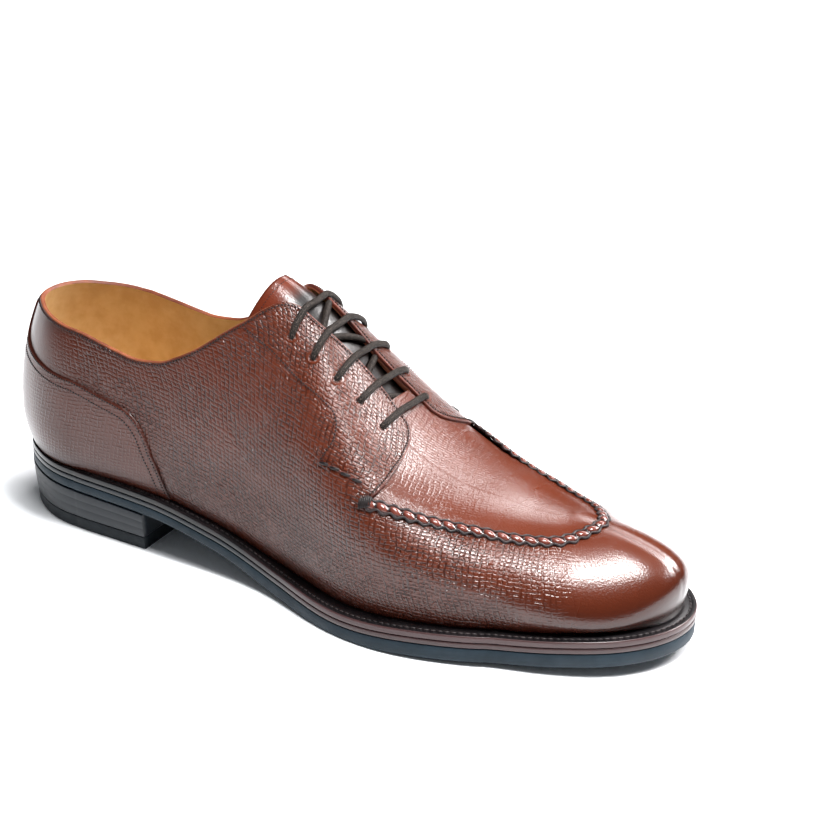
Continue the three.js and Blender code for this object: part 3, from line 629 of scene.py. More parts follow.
def make_leather(name, light, dark, coat=0.5, base_rough=0.37):
    """Leather darkened by burnish and by painted shade, with a broken cross-hatched grain; the meshes' UVs
    are in millimetres.
    """
    sh = Shader(name)
    uv = sh.place()
    here = sh.place("Object")
    wander = sh.node("ShaderNodeTexNoise", Vector=uv, Scale=0.13, Detail=3.0)
    pull = sh.node("ShaderNodeVectorMath", {"operation": "MULTIPLY_ADD"},
                   i0=wander.outputs["Color"], i1=(2.6, 2.6, 0.0), i2=uv).outputs[0]
    bands_up = sh.bands(sh.turned(pull, math.radians(5)), HATCH_UP, 0.9, "Y")
    bands_along = sh.bands(sh.turned(pull, math.radians(-12)), HATCH_ALONG, 1.1, "X")
    break_up = sh.ramp(sh.noise(uv, 0.40, 2.0), 0.36, 0.60, 0.35, 1.0)
    break_along = sh.ramp(sh.noise(sh.turned(uv, 1.0), 0.45, 2.0), 0.38, 0.58, 0.25, 1.0)
    lines_up = sh.math("MULTIPLY", sh.ramp(bands_up, 0.0, 0.62, 1.0, 0.0), break_up)
    lines_along = sh.math("MULTIPLY", sh.ramp(bands_along, 0.0, 0.55, 1.0, 0.0), break_along)
    lines = sh.math("MAXIMUM", lines_up, lines_along)
    patch = sh.ramp(sh.noise(uv, 0.07, 2.0), 0.30, 0.62, 0.55, 1.0)
    strength = sh.math("MULTIPLY", sh.field("hatch"), patch)
    depth = sh.math("MULTIPLY", sh.math("MULTIPLY", lines, -1.0), strength)
    mottle = sh.math("MULTIPLY_ADD", sh.noise(here, 34.0, 4.0, 0.6), 0.4, -0.19)
    color = sh.mix(sh.math("ADD", sh.field("burnish_and_painted_shade"), mottle), light, dark)
    color = sh.mix(sh.math("MULTIPLY", depth, -0.8), color, dark)
    bump = sh.bump(sh.noise(uv, 2.2, 3.0, 0.6), FINE_DEPTH)
    pores = sh.node("ShaderNodeTexVoronoi", Vector=uv, Scale=1.5).outputs["Distance"]
    bump = sh.bump(pores, PORE_DEPTH, bump)
    bump = sh.bump(depth, HATCH_DEPTH, bump)
    smear = sh.math("MULTIPLY_ADD", sh.noise(here, 60.0, 3.0), 0.06, -0.03)
    rough = sh.math("ADD", sh.math("MULTIPLY_ADD", sh.field("shine"), -0.12, base_rough), smear)
    return sh.finish(color, rough, bump, coat=coat, coat_rough=0.11, specular=0.4)


def make_plain(name, color, other, rough, grain=0.00003, scale=900.0, coat=0.0, specular=0.5):
    """Two clouded colours with a fine grain."""
    sh = Shader(name)
    here = sh.place("Object")
    cloud = sh.ramp(sh.noise(here, 90.0, 4.0, 0.6), 0.3, 0.7)
    bump = sh.bump(sh.noise(here, scale, 3.0, 0.6), grain)
    roughness = sh.ramp(sh.noise(here, 150.0, 3.0), 0.3, 0.7, rough - 0.05, rough + 0.06)
    return sh.finish(sh.mix(cloud, color, other), roughness, bump, coat, 0.2, specular)


def make_cord(name, light, dark):
    """Waxed braid with light flecks."""
    sh = Shader(name)
    uv = sh.place()
    one = sh.bands(sh.turned(uv, math.radians(40)), 0.62, 0.8)
    two = sh.bands(sh.turned(uv, math.radians(-40)), 0.62, 0.8)
    weave = sh.math("MAXIMUM", sh.ramp(one, 0.2, 0.9), sh.ramp(two, 0.2, 0.9))
    fleck = sh.ramp(sh.noise(uv, 1.9, 3.0, 0.75), 0.46, 0.70, 0.05, 1.0)
    color = sh.mix(sh.math("MULTIPLY", weave, fleck), dark, light)
    return sh.finish(color, 0.6, sh.bump(weave, 0.00022), specular=0.2)


def make_sole_edge(name, fore, rear, rough, coat=0.25):
    """Edge whose colour changes at the waist, with fine streaks along it."""
    sh = Shader(name)
    here = sh.place("Object")
    along = sh.node("ShaderNodeSeparateXYZ", None, Vector=here).outputs["X"]
    cloud = sh.ramp(sh.noise(here, 120.0, 4.0, 0.6), 0.3, 0.7, -0.12, 0.12)
    share = sh.math("ADD", sh.ramp(along, -0.03, 0.03), cloud)
    streak = sh.node("ShaderNodeMapping", Vector=here, Scale=(60, 60, 1400)).outputs[0]
    bump = sh.bump(sh.noise(streak, 1.0, 3.0, 0.6), 0.000015)
    roughness = sh.math("MULTIPLY_ADD", sh.noise(here, 150.0, 3.0), 0.1, rough - 0.05)
    return sh.finish(sh.mix(share, rear, fore), roughness, bump, coat=coat, coat_rough=0.2, specular=0.4)


upper_leather = make_leather("upper_leather", shade(100, 42, 21), shade(36, 14, 10))
counter_leather = make_leather("counter_leather", shade(100, 44, 26), shade(40, 17, 13), coat=0.3)
# The tongue's near-black dark end gives the painted shade on the tongue in the slit.
tongue_leather = make_leather("tongue_leather", shade(106, 44, 25), shade(14, 7, 6))
ridge_leather = make_leather("ridge_leather", shade(112, 58, 48), shade(20, 11, 11), coat=1.0,
                             base_rough=0.3)
cut_edge = make_plain("cut_edge", shade(138, 78, 50), shade(96, 46, 30), 0.5)
dark_edge = make_plain("dark_edge", shade(108, 48, 32), shade(64, 28, 22), 0.45)
groove_dark = make_plain("groove_dark", shade(84, 36, 27), shade(62, 26, 20), 0.5)
lining_leather = make_plain("lining_leather", shade(214, 184, 134), shade(196, 160, 110), 0.42, scale=700.0)
insole_leather = make_plain("insole_leather", shade(208, 172, 120), shade(190, 150, 98), 0.45, scale=700.0)
thread_dark = make_plain("thread_dark", shade(24, 15, 15), shade(13, 9, 10), 0.5, scale=2500.0)
thread_grey = make_plain("thread_grey", shade(46, 32, 32), shade(20, 14, 15), 0.45, scale=2500.0)
welt_thread = make_plain("welt_thread", shade(62, 54, 54), shade(28, 24, 26), 0.5, scale=2500.0)
welt_top = make_plain("welt_top", shade(24, 20, 22), shade(12, 10, 12), 0.36, grain=0.00008, coat=0.3)
welt_edge = make_sole_edge("welt_edge", shade(70, 48, 48), shade(11, 10, 12), 0.34)
midsole_edge = make_sole_edge("midsole_edge", shade(64, 45, 45), shade(20, 26, 32), 0.38)
outsole_rubber = make_plain("outsole_rubber", shade(30, 45, 55), shade(22, 36, 45), 0.55, scale=500.0,
                            specular=0.3)
heel_leather = make_sole_edge("heel_leather", shade(22, 28, 35), shade(20, 26, 33), 0.5, coat=0.1)
lift_rubber = make_plain("lift_rubber", shade(14, 23, 29), shade(9, 17, 23), 0.55, scale=500.0,
                         specular=0.25)
lace_cord = make_cord("lace_cord", shade(104, 92, 84), shade(15, 12, 11))

# Lines of the upper as points, for fields and threads
corner_girth = float(apron_girth(CORNER_ROW))


def facing_place(sign, row_share, t):
    """Place on the quarter above the corner's girth: row_share runs from the heel to the front
    edge and t from the line through the corner up to the top line."""
    row = row_share * front_row(t)
    low = split_girth(row)
    top = top_girth(sign * row)
    return sign * row, low + (top - low) * t


def split_girth(row):
    """Girth where the two grids of a quarter meet."""
    return SPLIT_GIRTH + (corner_girth - SPLIT_GIRTH) * smoothstep(row, 4.2, CORNER_ROW)


rise_t = np.concatenate((np.linspace(0, 0.9, 30), np.linspace(0.9, 1.0, 9)[1:]))
heel_s = np.linspace(0, 1, 190)
whole_edges = {}
for sign in (-1, 1):
    front_edge = np.stack(facing_place(sign, np.ones_like(rise_t), rise_t), -1)
    top_edge = np.stack(facing_place(sign, heel_s, np.ones_like(heel_s)), -1)
    whole_edges[sign] = np.concatenate((top_edge, front_edge[::-1][1:]))
apron_s = np.concatenate((np.linspace(-6.32, -LAST_ROW, 260), np.linspace(LAST_ROW, 6.32, 260)[1:]))
apron_line = np.stack((apron_s, apron_girth(np.abs(apron_s))), -1)
apron_points = on_last(apron_line)
toe_points = last(np.full(80, TOE_SEAM_AT), np.linspace(0.88, 0.03, 80))
edge_points = np.concatenate([on_last(edge) for edge in whole_edges.values()])
counter_s = np.concatenate((np.linspace(-3.42, -2.9, 60), np.linspace(-2.9, 2.9, 240)[1:-1],
                            np.linspace(2.9, 3.42, 60)))
counter_line = np.stack((counter_s, counter_girth(np.abs(counter_s))), -1)
counter_points = on_last(counter_line)


def skin_fields(s, g, points):
    """How dark (burnish and painted shade), how hatched and how shiny the leather is at each place."""
    row = np.abs(s)
    to_apron = distance_to(points, apron_points)
    to_edge = distance_to(points, edge_points)
    to_toe = distance_to(points, toe_points)
    heel = 1 - smoothstep(row, 1.6, 4.2)
    foot = 1 - smoothstep(g, 0.02, 0.20)
    burnish_and_painted_shade = 0.20 + 0.34 * heel + 0.22 * foot
    # Painted shade: the lower walls, which face sideways, are darkened for the light falling less on them.
    burnish_and_painted_shade += 0.24 * (1 - smoothstep(g, 0.2, 0.62))
    burnish_and_painted_shade += 0.30 * np.exp(-to_apron / 3.0) + 0.18 * np.exp(-to_edge / 3.0)
    burnish_and_painted_shade += 0.12 * np.exp(-to_toe / 2.0)
    # Painted shade: the toe wall below the apron is darkened for the shade on it.
    burnish_and_painted_shade += 0.42 * smoothstep(row, 7.0, 10.2) * (1 - smoothstep(g, 0.3, 0.7))
    hatch = smoothstep(row, 1.2, 3.0) * (1 - smoothstep(row, 7.4, 9.6))
    hatch = hatch * (0.35 + 0.65 * smoothstep(g, 0.02, 0.2))
    hatch = hatch * (1 - 0.35 * (1 - smoothstep(to_edge, 2.0, 9.0)) * (row < 4.4))
    shine = 0.25 + 0.75 * smoothstep(row, 7.6, 10.2) + 0.3 * (1 - smoothstep(row, 0.5, 2.5))
    return {"burnish_and_painted_shade": np.clip(burnish_and_painted_shade, 0, 1), "hatch": hatch, "shine": np.clip(shine, 0, 1)}


def relief(s, g, points):
    """Soft hollows and swells of the leather in millimetres."""
    row = np.abs(s)
    lift = np.zeros(np.shape(row))
    creased = smoothstep(g, 0.12, 0.4) * (1 - smoothstep(g, 0.75, 0.95))
    for at, width, depth, lean in CREASES:
        lift += depth * np.exp(-((row - at - lean * (g - 0.5)) / width) ** 2) * creased
    toe = distance_to(points, toe_points)
    seam = TOE_SWELL * np.exp(-((toe - 2.6) / 1.7) ** 2) - TOE_VALLEY * np.exp(-(toe / 0.8) ** 2)
    lift += seam * smoothstep(g, 0.10, 0.30)
    lift -= APRON_VALLEY * np.exp(-(distance_to(points, apron_points) / 2.2) ** 2)
    return lift


def round_edge(gap, radius):
    """Share of the full height at a distance from a rounded edge."""
    return np.sqrt(np.clip(1 - (1 - np.clip(gap / radius, 0, 1)) ** 2, 0, 1))


def grid_uv(points):
    """Lengths along the rows and up the girth, in millimetres."""
    along = np.linalg.norm(np.diff(points, axis=0), axis=2)
    u = np.concatenate(((0,), np.cumsum(along.mean(1))))
    up = np.linalg.norm(np.diff(points, axis=1), axis=2)
    v = np.concatenate((np.zeros((points.shape[0], 1)), np.cumsum(up, axis=1)), axis=1)
    return np.stack((np.broadcast_to(u[:, None], v.shape), v), -1)


# Outer skin: below the corner's girth all the way round, and above it the two quarters
def make_skin():
    piece = Piece("upper_skin")
    fore = np.linspace(CORNER_ROW, LAST_ROW, 170)[1:]
    back = np.linspace(0, 1, 210) * CORNER_ROW
    for sign in (-1, 1):
        row = np.concatenate((back, fore))
        top = np.where(row <= CORNER_ROW, split_girth(row), apron_girth(row))
        g = top[:, None] * np.linspace(0, 1, 44)[None, :]
        s = np.broadcast_to(sign * row[:, None], g.shape)
        points = skin(s, g, relief(s, g, last(s, g)))
        uv = grid_uv(points)
        piece.grid(points, upper_leather, uv, skin_fields(s, g, points), flip=sign > 0)
        share = back / CORNER_ROW
        high_s, high_g = facing_place(sign, share[:, None], rise_t[None, :])
        high = skin(high_s, high_g, relief(high_s, high_g, last(high_s, high_g)))
        high_uv = grid_uv(high)
        high_uv[..., 0] = uv[:len(back), :1, 0]
        high_uv[..., 1] += uv[:len(back), -1:, 1]
        piece.grid(high, upper_leather, high_uv, skin_fields(high_s, high_g, high), flip=sign > 0)
    return piece.make("upper_leather", "upper", weld=0.02)


# Plug of the vamp, from under the facings to the apron seam
def make_plug():
    piece = Piece("vamp_plug")
    across = np.linspace(-1, 1, 101)
    share = 1 - np.abs(across)
    under_front = front_row(np.clip(share, 0, 0.8)) - 0.34 * smoothstep(share, 0.0, 0.25)
    start = np.where(share < 0.80, under_front, 5.98)
    along = np.concatenate((np.linspace(0, 0.75, 90), np.linspace(0.75, 1, 60)[1:]))
    row = start[None, :] + (LAST_ROW - start[None, :]) * along[:, None]
    g = apron_girth(row) + (1 - apron_girth(row)) * share[None, :]
    s = row * np.where(across < 0, -1, 1)[None, :]
    dome = 0.35 * smoothstep(share, 0, 0.5)[None, :]
    lift = dome - VAMP_STEP * (1 - smoothstep(row, 6.55, 7.5))
    for at, width, depth, lean in PLUG_CREASES:
        lift = lift + depth * np.exp(-((row - at - lean * share[None, :]) / width) ** 2)
    points = skin(s, g, lift)
    fields = skin_fields(s, g, points)
    fields["hatch"] = 0.2 * (1 - smoothstep(row, 6.7, 7.9))
    fields["shine"] = 0.35 + 0.65 * smoothstep(row, 6.8, 8.4)
    to_front = distance_to(points, edge_points)
    # Painted shade: the plug is darkened next to the facings' front edges, which overhang it.
    fields["burnish_and_painted_shade"] = np.clip(fields["burnish_and_painted_shade"] * 0.8 + 0.30 * np.exp(-to_front / 2.0), 0, 1)
    piece.grid(points, upper_leather, grid_uv(points), fields, flip=True)
    return piece.make("upper_leather")


def make_edge_band(piece, places, material, away):
    """Rounded cut edge along a line of places, on the side away from the sheet."""
    centre, ahead, up, s, g = resample(places, 1.1)
    side = unit(np.cross(ahead, up)) * away
    profile = np.array((  # out, up
        (-0.25, 0.02), (0.02, 0.0), (0.20, -0.10), (0.30, -0.32), (0.30, -0.80),
        (0.26, -SKIN_THICK + 0.2), (0.0, -SKIN_THICK)))
    points = centre[:, None] + side[:, None] * profile[:, :1] + up[:, None] * profile[:, 1:]
    piece.grid(points, material, flip=away > 0)


def make_edges():
    piece = Piece("cut_edges")
    for sign in (-1, 1):
        places = whole_edges[sign]
        collar = int(np.argmax(np.abs(places[:, 0]) > COLLAR_END_ROW))
        make_edge_band(piece, places[:collar + 1], cut_edge, sign)
        make_edge_band(piece, places[collar:], dark_edge, sign)
    return piece.make("upper_leather")


# Lining: the inside of the wall
def make_lining():
    piece = Piece("lining")
    open_row = np.linspace(0, LINING_END_ROW, 110)
    row = np.concatenate((open_row, np.linspace(LINING_END_ROW, LAST_ROW, 50)[1:]))
    for sign in (-1, 1):
        top = np.where(row <= LINING_END_ROW, top_girth(sign * row), 1.0)
        g = top[:, None] * np.linspace(0, 1, 40)[None, :]
        s = np.broadcast_to(sign * row[:, None], g.shape)
        points = skin(s, g, -wall_at(np.abs(s), g))
        piece.grid(points, lining_leather, grid_uv(points), flip=sign < 0)
        edge = top[:len(open_row)]
        outer = skin(sign * open_row, edge, np.full(len(edge), -SKIN_THICK + 0.25))
        middle = skin(sign * open_row, edge + 0.003, np.full(len(edge), -SKIN_THICK - 0.1))
        band = np.stack((outer, middle, points[:len(edge), -1]), 1)
        piece.grid(band, cut_edge, flip=sign < 0)
    return piece.make("insole_leather")


# Heel counter with its raised edge
def make_counter():
    piece = Piece("counter_skin")
    t = np.concatenate((np.linspace(0, 0.9, 26), np.linspace(0.9, 1, 16)[1:]))
    s = np.broadcast_to(counter_s[:, None], (len(counter_s), len(t)))
    g = counter_line[:, 1:] * t[None, :]
    gap = distance_to(last(s, g), counter_points)
    points = skin(s, g, -0.15 + (COUNTER_LIFT + 0.15) * round_edge(gap, 0.6))
    fields = skin_fields(s, g, points)
    fields["hatch"] = 0.30 * smoothstep(np.abs(s), 0.3, 2.0)
    fields["shine"] = np.full(s.shape, 0.3)
    fields["burnish_and_painted_shade"] = np.clip(fields["burnish_and_painted_shade"] - 0.12 + 0.5 * np.exp(-gap / 0.8), 0, 1)
    piece.grid(points, counter_leather, grid_uv(points), fields)
    return piece.make("counter_leather", "heel_counter")


# Apron seam, pinched into beads by its slanting stitches
def make_apron_seam():
    piece = Piece("apron_seam")
    centre, ahead, up, s, g = resample(apron_line, 0.42)
    side = unit(np.cross(up, ahead))
    run = run_along(centre)
    turn = np.linspace(0, math.pi, 13)
    place = run[:, None] + APRON_SLANT * np.cos(turn)[None, :]
    bead = np.abs(np.sin(math.pi * place / APRON_PITCH)) ** 0.55
    half = APRON_HALF * (0.82 + 0.18 * bead)
    rise = APRON_RISE * (0.34 + 0.66 * bead)
    points = (centre[:, None] + side[:, None] * (half * np.cos(turn))[..., None]
              + up[:, None] * (-0.25 + rise * np.sin(turn) ** 0.8)[..., None])
    uv = np.stack(np.broadcast_arrays(run[:, None], turn[None, :] * 2), -1)
    # Painted shade: darker in the valleys between the beads and down the sides of the ridge.
    dark = np.clip(1.15 - 1.25 * bead, 0, 1) + 0.45 * np.abs(np.cos(turn))[None, :] ** 3
    piece.grid(points, ridge_leather, uv, {"burnish_and_painted_shade": np.clip(dark, 0, 1), "shine": 0.8})
    for away in (-1, 1):
        wave = np.cos(2 * math.pi * (run + APRON_SLANT * away) / APRON_PITCH)
        out = away * (APRON_HALF + 0.05 - 0.5 * wave)
        path = centre + side * out[:, None] + up * (0.32 + 0.26 * wave)[:, None]
        piece.tube(path, up, APRON_CORD - 0.10 * wave, thread_grey, 7)
    ties = np.arange(0, run[-1], APRON_PITCH)
    at = at_lengths(ties, run, centre)
    to = unit(at_lengths(ties, run, ahead))
    high = unit(at_lengths(ties, run, up))
    lean = unit(unit(np.cross(high, to)) + to * 0.55)
    piece.stitches(at + high * 0.55, lean, high, *APRON_TIE, thread_dark)
    return piece.make("upper_leather")


# Thread knot where the facing's front edge meets the apron seam
def make_corner_knots():
    piece = Piece("corner_knots")
    for sign in (-1, 1):
        s = sign * np.linspace(6.30, 6.40, 6)
        g = np.linspace(0.520, 0.560, 6)
        centre = skin(s, g, np.full(6, 0.9))
        up = normal(s, g)
        along = np.gradient(centre, axis=0)
        ahead = unit(np.cross(up, along) + along * 0.3)
        piece.stitches(centre, ahead, up, KNOT_LENGTH, KNOT_RADIUS, thread_dark)
    return piece.make("upper_leather")


def run_stitches(piece, places, lift):
    """A row of fine stitches over a dark groove."""
    centre, ahead, up, s, g = resample(places, STITCH_PITCH, lift)
    piece.stitches(centre[1:-1], ahead[1:-1], up[1:-1], STITCH_LENGTH, STITCH_RADIUS, thread_dark)
    path, ahead, up, s, g = resample(places, STITCH_PITCH, lift - STITCH_GROOVE - 0.03)
    piece.tube(path, up, STITCH_GROOVE, groove_dark, 5)


def make_seams():
    piece = Piece("fine_stitches")
    for sign in (-1, 1):
        run_stitches(piece, shift_line(whole_edges[sign], EDGE_STITCH * sign), STITCH_RISE)
        run_stitches(piece, dense(np.array(FACING_REAR) * (sign, 1)), STITCH_RISE)
    for away in COUNTER_STITCHES:
        line = shift_line(counter_line, away)
        line = line[(np.abs(line[:, 0]) > 0.62) & (line[:, 1] > 0.03)]
        for part in (line[line[:, 0] < 0], line[line[:, 0] > 0]):
            run_stitches(piece, part, COUNTER_LIFT + 0.06)
    return piece.make("upper_leather")


def make_hand_rows():
    piece = Piece("hand_stitches")
    for sign in (-1, 1):
        line = dense(np.array(HAND_ROW) * (sign, 1))
        centre, ahead, up, s, g = resample(line, HAND_PITCH, 0.45)
        middle = (centre[1:] + centre[:-1]) / 2
        side = unit(np.cross(up[1:], ahead[1:]))
        lean = unit(ahead[1:] + side * 0.16)
        piece.stitches(middle, lean, up[1:], HAND_LENGTH, HAND_RADIUS, thread_dark)
        piece.tube(on_last(line), normal(line[:, 0], line[:, 1]), 0.5, groove_dark, 6)
    return piece.make("upper_leather")


# Rims of the punched lace holes
def make_rims():
    piece = Piece("eyelet_rims")
    turn = np.linspace(0, 2 * math.pi, 20, endpoint=False)
    # The rim is lighter on its raised lip as a painted highlight and darkens down into the hole as painted
    # shade.
    profile = (  # radius, lift, burnish and painted shade
        (2.9, -0.10, 0.4), (2.45, 0.05, 0.3), (2.15, 0.11, 0.1), (1.95, 0.06, 0.2), (1.8, -0.2, 0.8),
        (1.7, -1.3, 1.0))
    burnish_and_painted_shade = np.array(column(profile, 2))[:, None] * np.ones(len(turn))
    for sign in (-1, 1):
        for row, g in EYELETS:
            at = last(sign * row, g)
            up = normal(sign * row, g)
            ahead = unit(np.cross(up, (0.0, 1.0, 0.0)))
            circle = np.cos(turn)[:, None] * ahead + np.sin(turn)[:, None] * np.cross(up, ahead)
            points = np.array([at + radius * circle + up * lift for radius, lift, dark in profile])
            piece.grid(points, upper_leather, None, {"burnish_and_painted_shade": burnish_and_painted_shade, "shine": 0.6}, ring=True)
    return piece.make("upper_leather")


# Tongue, with its tan lining
def make_tongue():
    piece = Piece("tongue_skin")
    across = np.linspace(-1, 1, 61)
    share = 1 - np.abs(across)
    g = TONGUE_EDGE_GIRTH + (1 - TONGUE_EDGE_GIRTH) * share
    start = TONGUE_TOP_ROW + (TONGUE_EDGE_ROW - TONGUE_TOP_ROW) * (1 - share) ** 1.5
    along = np.concatenate((np.linspace(0, 0.06, 8), np.linspace(0.06, 1, 60)[1:]))
    row = start[None, :] + (TONGUE_END_ROW - start[None, :]) * along[:, None]
    s = row * np.where(across < 0, -1, 1)[None, :]
    girth = np.broadcast_to(g[None, :], row.shape)
    deep = -wall_at(row, girth) - TONGUE_GAP
    base = skin(s, girth, deep)
    gap = distance_to(base, np.concatenate((base[:, 0], base[:, -1], base[0])))
    inset = 0.5 * TONGUE_THICK * (1 - round_edge(gap, 0.7))
    upper_side = skin(s, girth, deep - inset)
    lower_side = skin(s, girth, deep - TONGUE_THICK + inset)
    # Painted shade: the tongue is darkened where it lies in the slit under the laces, for the shade there.
    painted_slit_shade = smoothstep(row, 4.5, 4.85)
    burnish_and_painted_shade = np.clip(0.15 + 0.35 * np.exp(-gap / 1.5) + painted_slit_shade, 0, 1)
    fields = {"burnish_and_painted_shade": burnish_and_painted_shade, "hatch": 0.05, "shine": 0.6 - 1.2 * painted_slit_shade}
    piece.grid(upper_side, tongue_leather, grid_uv(upper_side), fields, flip=True)
    piece.grid(lower_side, lining_leather, grid_uv(lower_side))
    seam_s = s[0, 5:-5] + np.where(across[5:-5] < 0, -0.10, 0.10)
    seam_g = girth[0, 5:-5]
    centre = skin(seam_s, seam_g, -wall_at(np.abs(seam_s), seam_g) - TONGUE_GAP)
    run = run_along(centre)
    at = np.arange(0.5, run[-1], TONGUE_PITCH)
    spots = at_lengths(at, run, centre)
    ups = unit(at_lengths(at, run, normal(seam_s, seam_g)))
    piece.stitches(spots, unit(np.gradient(spots, axis=0)), ups, *TONGUE_STITCH, thread_dark)
    return piece.make("tongue_leather", "tongue")


# The lace: five bars over the facings and the slanting crossings under them
def curve_through(points, count=90):
    """Smooth curve through a few points."""
    points = np.asarray(points, float)
    run = run_along(points)
    fine = np.linspace(0, run[-1], count)
    slopes = np.gradient(points, run, axis=0)
    return np.stack([hermite(run, points[:, k], slopes[:, k])(fine) for k in range(3)], -1)


def lace_half(s, g):
    """Points of a bar from inside its hole to the edge of the slit."""
    edge = float(top_girth(np.array(s)))
    lift = CORD_RADIUS * CORD_FLAT
    places = ((g, -2.2), (g, -0.5), (g + 0.008, 0.55), (g + 0.024, lift - 0.1),
              (g + (edge - g) * 0.6, lift), (edge, lift - 0.35))
    return [skin(s, girth, height) for girth, height in places]


def make_laces():
    for i, (row, g) in enumerate(EYELETS):
        piece = Piece("lace_%d" % (i + 1))
        outer = lace_half(-row, g)
        inner = lace_half(row, g)
        middle = (outer[-1] + inner[-1]) / 2 + normal(row, 1.0) * 0.12
        path = curve_through(outer + [middle] + inner[::-1])
        up = np.broadcast_to(normal(row, 1.0), path.shape)
        swell = 1 + 0.03 * np.sin(np.linspace(0, 60, len(path)))
        piece.tube(path, up, CORD_RADIUS * swell, lace_cord, 14, CORD_FLAT)
        if i < len(EYELETS) - 1:
            after = EYELETS[i + 1][0]
            mid = (row + after) / 2
            under = -wall_at(mid, 1.0) - TONGUE_GAP + CORD_RADIUS
            sign = -1 if i % 2 else 1
            low = [skin(sign * row, 0.80, under - 0.4), skin(sign * (row + 0.06), 0.90, under),
                   skin(sign * mid, 1.0, under + 0.1), skin(-sign * (after - 0.06), 0.90, under),
                   skin(-sign * after, 0.80, under - 0.4)]
            route = curve_through(low, 50)
            up = np.broadcast_to(normal(mid, 1.0), route.shape)
            piece.tube(route, up, CORD_RADIUS, lace_cord, 12)
        piece.make("lace", "lace_bar_%d" % (i + 1))


# Sole: rings round the shoe at an offset from the feather line
edge_s = np.concatenate((np.linspace(-LAST_ROW, -8, 90), np.linspace(-8, -2, 130)[1:],
                         np.linspace(-2, 2, 80)[1:], np.linspace(2, 8, 130)[1:],
                         np.linspace(8, LAST_ROW, 90)[1:-1]))
feather = last(edge_s, np.zeros_like(edge_s))
ahead_edge = np.roll(feather, -1, axis=0) - np.roll(feather, 1, axis=0)
square = unit(np.stack((ahead_edge[:, 1], -ahead_edge[:, 0], np.zeros(len(feather))), -1))
square = square * np.where(np.sum(square * (feather - feather.mean(0))) < 0, -1, 1)
shelves = [line_of[name](np.abs(edge_s)) for name in ("outer_shelf", "inner_shelf")]
shelf = np.where(edge_s < 0, *shelves) * WELT_SHELF


def local_x(points):
    return points[..., 0] - LAST_ORIGIN[0]


def ring(out, height, from_feather=False):
    reach = out + (0 if from_feather else shelf)
    points = feather + square * np.broadcast_to(reach, (len(feather),))[:, None]
    points[:, 2] = height(local_x(points))
    return points


def below(depth):
    return lambda x: feather_height(x) - depth


MIDSOLE_TOP = WELT_THICK + SEAM
OUTSOLE_TOP = MIDSOLE_TOP + MIDSOLE_THICK + SEAM


def outsole_depth(x):
    seat = smoothstep(heel_share(x / SOLE_LENGTH), 0, 0.85)
    return OUTSOLE_TOP + OUTSOLE_THICK + (OUTSOLE_SEAT_THICK - OUTSOLE_THICK) * seat


def tread(lift):
    return lambda x: np.maximum(feather_height(x) - outsole_depth(x), 0) + lift


def add_rings(piece, rings, material, flip=False):
    points = np.array(rings)
    run = run_along(points[0])
    up = np.arange(len(rings), dtype=float)
    uv = np.stack(np.broadcast_arrays(run[None, :], up[:, None]), -1)
    piece.grid(points, material, uv, ring=True, flip=flip)


def add_cap(piece, outline, material, height, up):
    half = (len(outline) + 2) // 2
    one = outline[:half]
    other = np.concatenate((outline[:1], outline[:half - 1:-1]))[:half]
    t = np.linspace(0, 1, 13)
    points = one[:, None] * (1 - t)[None, :, None] + other[:, None] * t[None, :, None]
    points[..., 2] = height(local_x(points))
    piece.grid(points, material, points[..., :2], flip=up)


def make_welt():
    piece = Piece("welt_strip")
    top = [ring(-9, below(-0.1), True), ring(0.6, below(-0.1), True), ring(-2.9, below(0.0)),
           ring(-WELT_GROOVE, below(0.22)), ring(-2.1, below(0.0)), ring(-0.9, below(0.0)),
           ring(-0.45, below(-0.02))]
    add_rings(piece, top, welt_top)
    edge = [ring(-0.45, below(-0.02)), ring(-0.16, below(0.12)), ring(0.0, below(0.42)),
            ring(0.0, below(WELT_THICK - 0.3)), ring(-0.15, below(WELT_THICK - 0.02)),
            ring(-0.9, below(WELT_THICK + 0.05))]
    add_rings(piece, edge, welt_edge)
    points = ring(-WELT_GROOVE, below(-0.02))
    run = run_along(points)
    spots = at_lengths(np.arange(0, run[-1], WELT_PITCH), run, points)
    up = np.broadcast_to(np.array((0.0, 0.0, 1.0)), spots.shape)
    piece.stitches(spots, unit(np.gradient(spots, axis=0)), up, *WELT_STITCH, welt_thread)
    return piece.make("welt_leather", "welt")


def make_midsole():
    piece = Piece("midsole_edge_band")
    low = MIDSOLE_TOP + MIDSOLE_THICK
    rings = [ring(-1.2, below(MIDSOLE_TOP - 0.1)), ring(-0.18, below(MIDSOLE_TOP)),
             ring(0.0, below(MIDSOLE_TOP + 0.2)), ring(0.0, below(low - 0.2)),
             ring(-0.18, below(low)), ring(-1.2, below(low + 0.1))]
    add_rings(piece, rings, midsole_edge)
    add_cap(piece, ring(-1.1, below(low)), midsole_edge, below(low), False)
    return piece.make("midsole_leather", "midsole")


def make_outsole():
    piece = Piece("outsole_rubber_sole")
    rings = [ring(-1.2, below(OUTSOLE_TOP - 0.1)), ring(-0.2, below(OUTSOLE_TOP)),
             ring(0.0, below(OUTSOLE_TOP + 0.25)), ring(-0.05, tread(1.1)), ring(-0.25, tread(0.5)),
             ring(-0.65, tread(0.12)), ring(-1.2, tread(0.0)), ring(-5.0, tread(0.0)),
             ring(-5.4, tread(0.35)), ring(-5.9, tread(0.35)), ring(-6.3, tread(0.0))]
    add_rings(piece, rings, outsole_rubber)
    add_cap(piece, ring(-6.3, tread(0.0)), outsole_rubber, tread(0.0), False)
    return piece.make("sole_rubber", "outsole")


